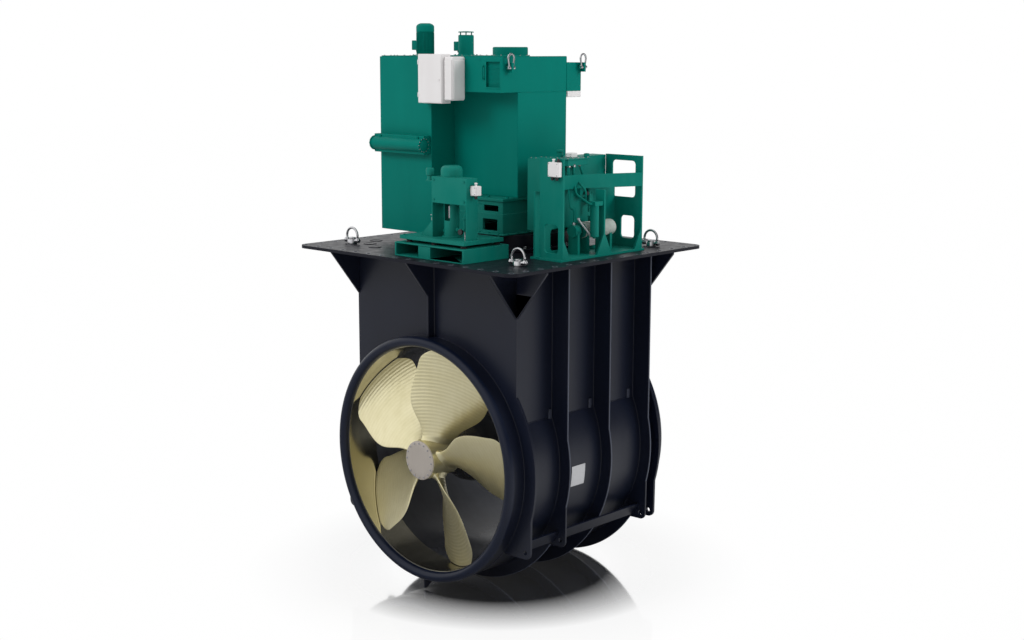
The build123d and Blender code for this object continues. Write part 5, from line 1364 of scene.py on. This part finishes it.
@dataclass
class PumpUnit(Assembly):
    """Channel skid, mounts, portal and upright pump set."""

    x: float = 330.0
    y: float = -1002.8
    bed: float = 225.0
    portal_y: float = -1110.0
    valve: tuple[float, float] = (140.0, -1060.0)
    mount_x: tuple[float, ...] = (-75.0, 262.5, 640.0)
    mount_y: tuple[float, ...] = (-1160.0, -730.0)

    def build(self) -> None:
        """Builds the pump unit and its fittings."""
        x, y = self.x, self.y
        self.refine("pump_unit_skid", GREEN_WELD, 3.0, 2)
        self.refine("pump_unit_frame", GREEN_WELD, 3.0, 2)
        dome = [(60, 785), (101, 785), (101, 842), (97, 862), (86, 877), (66, 884), (0, 885)]
        parts = [refined("pump_unit_motor", 2.0, 2), lathed(dome, (x, y, 0), Axis.UP, 56, 35)]
        parts += [lathed([(88, 0), (93.8, 0), (93.8, 8), (88, 8)], (x, y, z), Axis.UP, 48, closed=True)
                  for z in (602, 640)]
        parts.append(soften(drum((x, y, self.bed), UP, 16, 88), 2))
        self.keep(merged(parts), "pump_unit_motor_finished", GREEN_WELD, "pump_unit_motor")
        shape = [(0, 160), (30, 160), (33, 164), (27, 170), (25, 175), (27, 180), (33, 186), (30, 190), (0, 190)]
        pads = [lathed(shape, (spot, row, 0), Axis.UP, 32, 40) for row in self.mount_y for spot in self.mount_x]
        self.keep(merged(pads), "vibration_mounts_finished", RUBBER, "vibration_mounts")
        self.pipes()
        self.fittings()

    def pipes(self) -> None:
        """Adds the pump's pipes with their unions."""
        x, y, bed, (drain_x, drain_y) = self.x, self.y, self.bed, self.valve
        routes = (([(x + 60, y, 300), (500, y, 300), (500, y, 420), (500, -965, 520)], 30, 14),
                  ([(x - 60, y, 280), (230, y, 280), (230, -880, 280), (230, -880, bed)], 30, 18),
                  ([(165, drain_y, 300), (drain_x, drain_y, 300), (drain_x, drain_y, 400), (drain_x, -960, 400),
                    (drain_x, -960, bed)], 22, 9))
        parts = [bar(bent(route, bend), radius) for route, bend, radius in routes]
        parts += [nut((x + 66, y, 300), (1, 0, 0), 26, 22), nut((x - 66, y, 280), (-1, 0, 0), 26, 26),
                  nut((500, y, 395), UP, 24, 21)]
        self.keep(smooth(merged(parts), 40), "pump_pipes", GREEN_WELD)

    def fittings(self) -> None:
        """Adds the drain valve, the screws, the breather and the gauge."""
        x, y = self.valve
        valve = [lathed([(0, 0), (16, 0), (16, 26), (11, 30), (11, 44), (0, 44)], (x, y, 372), Axis.UP, 24),
                 plate((x - 28, y - 6, 416), (x + 28, y + 6, 424)), nut((x, y, 318), UP, 20, 15)]
        self.keep(merged(valve), "pump_drain_valve", BRIGHT)
        places = [placed(x, y, self.bed) for x in (-130, 655) for y in (-1175, -715)]
        places += [placed(x, self.portal_y, z, (0, -1, 0)) for x in (205, 597) for z in (575, 755)]
        self.keep(copies(hex_screw(9.0), places), "pump_unit_screws", GREEN_WELD)
        cap = [(0, 740), (27, 740), (27, 752), (24, 756), (24, 782), (36, 788), (38, 794), (38, 842), (34, 852),
               (0, 856)]
        self.keep(lathed(cap, (82, -1040, 0), Axis.UP, 32), "pump_breather_cap", GREEN_WELD)
        x, y, z = 560, self.portal_y, 300
        gauge = [(0, -20), (24, -20), (27, -17), (27, 0), (0, 0)]
        self.keep(lathed(gauge, (x, y, z), Axis.TUNNEL, 32), "pump_gauge", DARK_STEEL)
        stem = bar([(x, y, z), (x, y + 50, z), (x, y + 50, self.bed)], 7)
        self.keep(smooth(stem, 50), "pump_gauge_pipe", BRIGHT)


@dataclass
class PowerPack(Assembly):
    """Plate frame, tank, filter and lying pump set of the oil unit."""

    lying_x: float = 1055.0
    lying_z: float = 265.0
    tank_top: float = 930.0
    filter_x: float = 1200.0
    filter_y: float = 5.0
    union_tops: tuple[tuple[float, float, float], ...] = (
        (930, -60, 20), (940, 0, 19), (900, 40, 17), (920, 110, 20))

    def build(self) -> None:
        """Builds the power pack and its fittings."""
        self.refine("power_pack_frame", GREEN_WELD, 3.0, 2)
        self.refine("power_pack_tank", GREEN_WELD, 4.0, 2)
        self.motor()
        self.tank_fittings()
        self.pipes()

    def motor(self) -> None:
        """Finishes the lying motor, its pump and the filter."""
        x, z = self.lying_x, self.lying_z
        self.refine("power_pack_drive", GREEN_WELD, 2.0, 2)
        cowl = [(71, 330), (76, 334), (76, 404), (72, 416), (60, 424), (0, 426), (0, 330)]
        parts = [lathed(cowl, (x, 0, z), Axis.TUNNEL, 48, 35)]
        place = Matrix.Translation(Vector((x, 0, z)) * MM)
        parts.append(copies(plate((71, 10, -1.6), (77, 325, 1.6), 1, 1),
                            [place @ Matrix.Rotation(math.radians(turn), 4, "Y")
                             for turn in (*range(0, 70, 9), *range(112, 360, 9))]))
        shell = [(72.3, -16), (74.5, -14), (74.5, 332), (72.3, 334)]
        parts.append(lathed(shell, (x, 0, z), Axis.TUNNEL, 48, closed=True))
        self.keep(merged(parts), "power_pack_motor_shell", PALE_GREY)
        parts = [plate((x - 45, 130, z + 66), (x + 45, 230, z + 118), 5, 3),
                 plate((x - 48, 127, z + 112), (x + 48, 233, z + 122), 4, 3)]
        self.keep(merged(parts), "power_pack_motor_box", GREEN_WELD)
        bowl = [(0, 212), (34, 212), (41, 218), (41.5, 498), (40, 500), (0, 500)]
        parts = [lathed(bowl, (self.filter_x, self.filter_y, 0), Axis.UP, 40, 35),
                 nut((self.filter_x, self.filter_y, 198), UP, 15, 16)]
        self.keep(merged(parts), "filter_bowl", GREEN_WELD)

    def tank_fittings(self) -> None:
        """Adds the caps, gauge and screws on the tank."""
        top = self.tank_top
        cap = [(0, top + 45), (28, top + 45), (34, top + 48), (36, top + 54), (36, top + 66), (30, top + 72),
               (0, top + 74)]
        self.keep(lathed(cap, (740, 30, 0), Axis.UP, 36, 35), "filler_cap", GREEN_WELD)
        cap = [(0, top), (32, top), (32, top + 14), (27, top + 16), (27, top + 30), (22, top + 36), (0, top + 38)]
        self.keep(lathed(cap, (905, 230, 0), Axis.UP, 36, 35), "manifold_cap", GREEN_WELD)
        places = [placed(x, y, top) for x in (815, 865, 945) for y in (-88, 198)]
        places += [placed(948, y, top) for y in (-20, 55, 130)]
        self.keep(copies(hex_screw(8.0), places), "manifold_screws", BRIGHT)
        self.keep(plate((800, -220, 420), (812, -190, 760), 4, 3), "level_gauge", ALLOY)
        self.keep(merged([nut((800, -205, z), (1, 0, 0), 20, 15) for z in (440, 740)]), "level_gauge_screws", BRIGHT)
        self.keep(plate((640, -290, top), (790, -120, top + 6)), "tank_hatch", GREEN_WELD)
        places = [placed(x, y, top + 6) for x in (655, 715, 775) for y in (-275, -135)]
        self.keep(copies(hex_screw(6.0), places), "tank_hatch_screws", BRIGHT)

    def pipes(self) -> None:
        """Adds the valve blocks and pipes between manifold, filter and pump."""
        x, z = self.lying_x, self.lying_z
        routes = (([(x, -115, z + 50), (x, -115, 470), (1010, -115, 470), (930, -60, 700), (930, -60, 880)], 13),
                  ([(1200, -35, 525), (1200, -70, 525), (1040, -70, 600), (940, 0, 720), (940, 0, 870)], 12),
                  ([(1170, 5, 525), (1090, 5, 525), (1090, 5, 640), (900, 40, 760), (900, 40, 870)], 10),
                  ([(920, 110, 870), (960, 110, 780), (985, 180, 620), (985, 180, 420)], 14))
        parts = [bar(bent(route, 28), radius) for route, radius in routes]
        self.keep(smooth(merged(parts), 40), "oil_pipes", GREEN_WELD)
        blocks = [plate((905, 60, 560), (975, 150, 660), 5), plate((915, 170, 500), (975, 250, 590), 5)]
        self.keep(merged(blocks), "valve_blocks", GREEN_WELD)
        coils = [((940, 90, 660), UP, 70, 19), ((945, 210, 590), UP, 55, 19), ((975, 120, 600), (1, 0, 0), 48, 18)]
        self.keep(merged([soften(drum(*coil, sides=28), 3) for coil in coils]), "valve_coils", GLAND)
        nuts = [nut((x, -115, z + 55), UP, 26, 20)]
        nuts += [nut((across, along, 850), UP, 26, radius) for across, along, radius in self.union_tops]
        self.keep(merged(nuts), "pipe_nuts", BRIGHT)
        upper, lower = (1172, -193, 389), (1172, -17, 224)
        flanges = [drum(spot, UP, 12, 14, sides=20) for spot in (upper, (1172, -17, 218))]
        self.keep(smooth(merged([bar([upper, lower], 9), *flanges]), 50), "filter_drain_pipe", ALLOY)


# ---------------------------------------------------------------- studio


@dataclass
class Studio:
    """Floor, light and the camera of the reference view, in metres but for the camera's place and the floor's."""

    azimuth: float = 43.16
    elevation: float = 10.3
    roll: float = 0.15
    place: Triple = (10168.0, -10679.0, 1953.0)
    lens: float = 52.75
    sensor: float = 36.0
    view_end: float = 200.0
    sky: tuple[float, float] = (0.3, 0.85)
    sky_rise: tuple[float, float] = (-0.1, 0.9)
    sky_sheen: tuple[float, float] = (1.0, 0.12)
    sky_side: tuple[float, float] = (-0.7, 0.9)
    sky_ahead: tuple[float, float] = (1.05, 1.25)
    floor_z: float = -3262.0
    floor_size: float = 160.0
    floor_grey: tuple[float, ...] = (0.9, 0.9, 0.905, 1.0)
    floor_sheen: tuple[float, float] = (0.5, 0.9)
    floor_side: tuple[float, float] = (-3.5, 3.0)
    # Reach of the painted shadow that darkens the floor's reflected glow near the object.
    floor_painted_shadow_reach: tuple[float, float] = (0.8, 3.2)
    floor_fade: tuple[float, float] = (1.3, 2.6)
    mirror_grey: tuple[float, ...] = (0.96, 0.96, 0.96, 1.0)
    mirror_reach: tuple[float, float] = (1.1, 1.85)
    mirror_roughness: float = 0.07
    mirror_share: float = 0.985
    white: tuple[float, ...] = (1.0, 1.0, 1.0, 1.0)
    lamp_size: float = 6.0
    lamps: tuple[tuple[str, Triple, Triple, float], ...] = (
        ("key_light", (-4.0, -11.0, 8.0), (0.0, 0.0, -0.6), 640.0),
        ("side_light", (11.0, 6.5, 6.0), (0.0, 0.0, -0.4), 760.0))

    def build(self) -> None:
        """Sets the floor, the world, the lamps and the camera."""
        self.floor()
        self.world()
        for lamp in self.lamps:
            self.lamp(*lamp)
        self.camera()
        bpy.context.scene.view_settings.view_transform = "Standard"

    def floor(self) -> None:
        """Lays a pale polished floor that fades to white far from the object."""
        clear_selection()
        bpy.ops.mesh.primitive_grid_add(x_subdivisions=4, y_subdivisions=4, size=self.floor_size,
                                        location=(0, 0, self.floor_z * MM))
        floor = settle(bpy.context.object)
        floor.name = "studio_floor"
        made = bpy.data.materials.new("studio_floor")
        made.use_nodes = True
        wire = Wiring(made.node_tree)
        shader = made.node_tree.nodes["Principled BSDF"]
        shader.inputs["Base Color"].default_value = self.floor_grey
        shader.inputs["Roughness"].default_value = 0.6
        shader.inputs["Specular IOR Level"].default_value = 0.0
        where = wire.node("TexCoord").outputs["Object"]
        parts = wire.node("SeparateXYZ", where)
        flat = wire.node("VectorMath", where, (1.0, 1.0, 0.0), operation="MULTIPLY").outputs[0]
        away = wire.node("VectorMath", flat, operation="LENGTH").outputs["Value"]
        rays = wire.node("LightPath")
        camera, glossy = rays.outputs["Is Camera Ray"], rays.outputs["Is Glossy Ray"]
        across = wire.maths("ADD", parts.outputs[0], parts.outputs[1])
        side = wire.span(across, *self.floor_side, *self.floor_sheen)
        # Painted shadow: the floor's glow seen in reflections is darkened near and under the object, where the object
        # would shade it.
        under = wire.maths("MULTIPLY", side, wire.span(away, *self.floor_painted_shadow_reach, 0.05, 1.0))
        strength = wire.maths("MAXIMUM", camera, wire.maths("MULTIPLY", glossy, under))
        glow = wire.node("Emission", self.white, strength)
        seen = wire.maths("MAXIMUM", camera, glossy)
        fade = wire.maths("MAXIMUM", wire.span(away, *self.floor_fade, 0.7, 1.0), glossy)
        base = wire.node("MixShader", wire.maths("MULTIPLY", fade, seen), shader.outputs[0], glow.outputs[0])
        mirror = wire.node("BsdfAnisotropic", self.mirror_grey, self.mirror_roughness)
        near = wire.span(away, *self.mirror_reach, 1.0, 0.03)
        polish = wire.maths("MULTIPLY", wire.maths("MULTIPLY", near, camera), self.mirror_share)
        whole = wire.node("MixShader", polish, base.outputs[0], mirror.outputs[0])
        wire.feed(made.node_tree.nodes["Material Output"].inputs[0], whole.outputs[0])
        floor.data.materials.append(made)

    def world(self) -> None:
        """Sets a white surround whose reflections fall off towards the far right."""
        world = bpy.data.worlds.new("studio")
        bpy.context.scene.world = world
        world.use_nodes = True
        wire = Wiring(world.node_tree)
        rays = wire.node("LightPath")
        x, y, z = wire.node("SeparateXYZ", wire.node("TexCoord").outputs["Generated"]).outputs
        sheen = wire.span(wire.maths("ADD", x, y), *self.sky_side, *self.sky_sheen)
        ahead = wire.span(wire.maths("SUBTRACT", y, x), *self.sky_ahead, 0.0, 1.0)
        sheen = wire.maths("MAXIMUM", sheen, ahead)
        glossy = wire.maths("MULTIPLY", rays.outputs["Is Glossy Ray"], sheen)
        soft = wire.maths("MULTIPLY", rays.outputs["Is Diffuse Ray"], wire.span(z, *self.sky_rise, *self.sky))
        clear = wire.maths("MAXIMUM", rays.outputs["Is Camera Ray"], rays.outputs["Is Transmission Ray"])
        strength = wire.maths("MAXIMUM", clear, wire.maths("MAXIMUM", glossy, soft))
        shade = world.node_tree.nodes["Background"]
        wire.feed(shade.inputs["Strength"], strength)
        shade.inputs["Color"].default_value = self.white

    def lamp(self, name: str, place: Triple, target: Triple, power: float) -> None:
        """Adds a large soft lamp that doesn't show in reflections.

        Args:
            name: Its name.
            place: Where it stands, in metres.
            target: The point that it faces.
            power: Its power in watts.
        """
        light = bpy.data.lights.new(name, "AREA")
        light.shape = "DISK"
        light.size = self.lamp_size
        light.energy = power
        lamp = bpy.data.objects.new(name, light)
        bpy.context.collection.objects.link(lamp)
        lamp.visible_glossy = False
        lamp.matrix_world = Matrix.Translation(place) @ heading(Vector(place) - Vector(target))

    def camera(self) -> None:
        """Stands the camera where the reference view was taken."""
        turn, rise, roll = (math.radians(value) for value in (self.azimuth, self.elevation, self.roll))
        back = Vector((math.sin(turn) * math.cos(rise), -math.cos(turn) * math.cos(rise), math.sin(rise)))
        right = Vector((math.cos(turn), math.sin(turn), 0.0))
        up = back.cross(right)
        along = right * math.cos(roll) + up * math.sin(roll)
        above = up * math.cos(roll) - right * math.sin(roll)
        data = bpy.data.cameras.new("reference_view")
        data.lens = self.lens
        data.sensor_fit = "HORIZONTAL"
        data.sensor_width = self.sensor
        data.clip_end = self.view_end
        camera = bpy.data.objects.new("reference_view", data)
        bpy.context.collection.objects.link(camera)
        facing = Matrix((along, above, back)).transposed().to_4x4()
        camera.matrix_world = Matrix.Translation(Vector(self.place) * MM) @ facing
        bpy.context.scene.camera = camera


def dress_nodes(nodes: dict[str, Piece]) -> None:
    """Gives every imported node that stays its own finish.

    Args:
        nodes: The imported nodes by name.
    """
    for name, finish in NODE_FINISHES.items():
        for slot in nodes[name].material_slots:
            slot.material = finish.material()
        LOG.info("%s keeps its solid", name)


def hoist_bolts() -> None:
    """Replaces the four hoist bolts by ones with sockets, flanges and nuts."""
    head = [(0, 86), (10, 86), (10, 95.6), (31, 95.6), (36, 91), (36, 75.6), (18, 75.6), (18, 0), (0, 0)]
    pattern = merged([lathed(head, ORIGIN, Axis.UP, 40), nut((0, 0, -25), UP, 25, 29, 2.5)])
    bolts = copies(pattern, [placed(x, y, 0) for x, y in HOIST_PLACES])
    Assembly().keep(bolts, "hoist_bolts_finished", BRIGHT, "hoist_bolts")


def main() -> None:
    """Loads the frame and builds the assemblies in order."""
    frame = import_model()
    dress_nodes(frame["nodes"])
    Hull().build()
    PropellerUnit().build()
    for number, (x, y) in enumerate(HOIST_PLACES, 1):
        HoistRing(number=number, x=x, y=y).build()
    hoist_bolts()
    for number, y in ((1, -353.0), (2, 678.0)):
        HeadShackle(number=number, y=y).build()
    for assembly in (MotorTower(), Cooler(), ElectricBoxes(), PumpUnit(), PowerPack()):
        assembly.build()
    Studio().build()


if __name__ == "__main__":
    main()
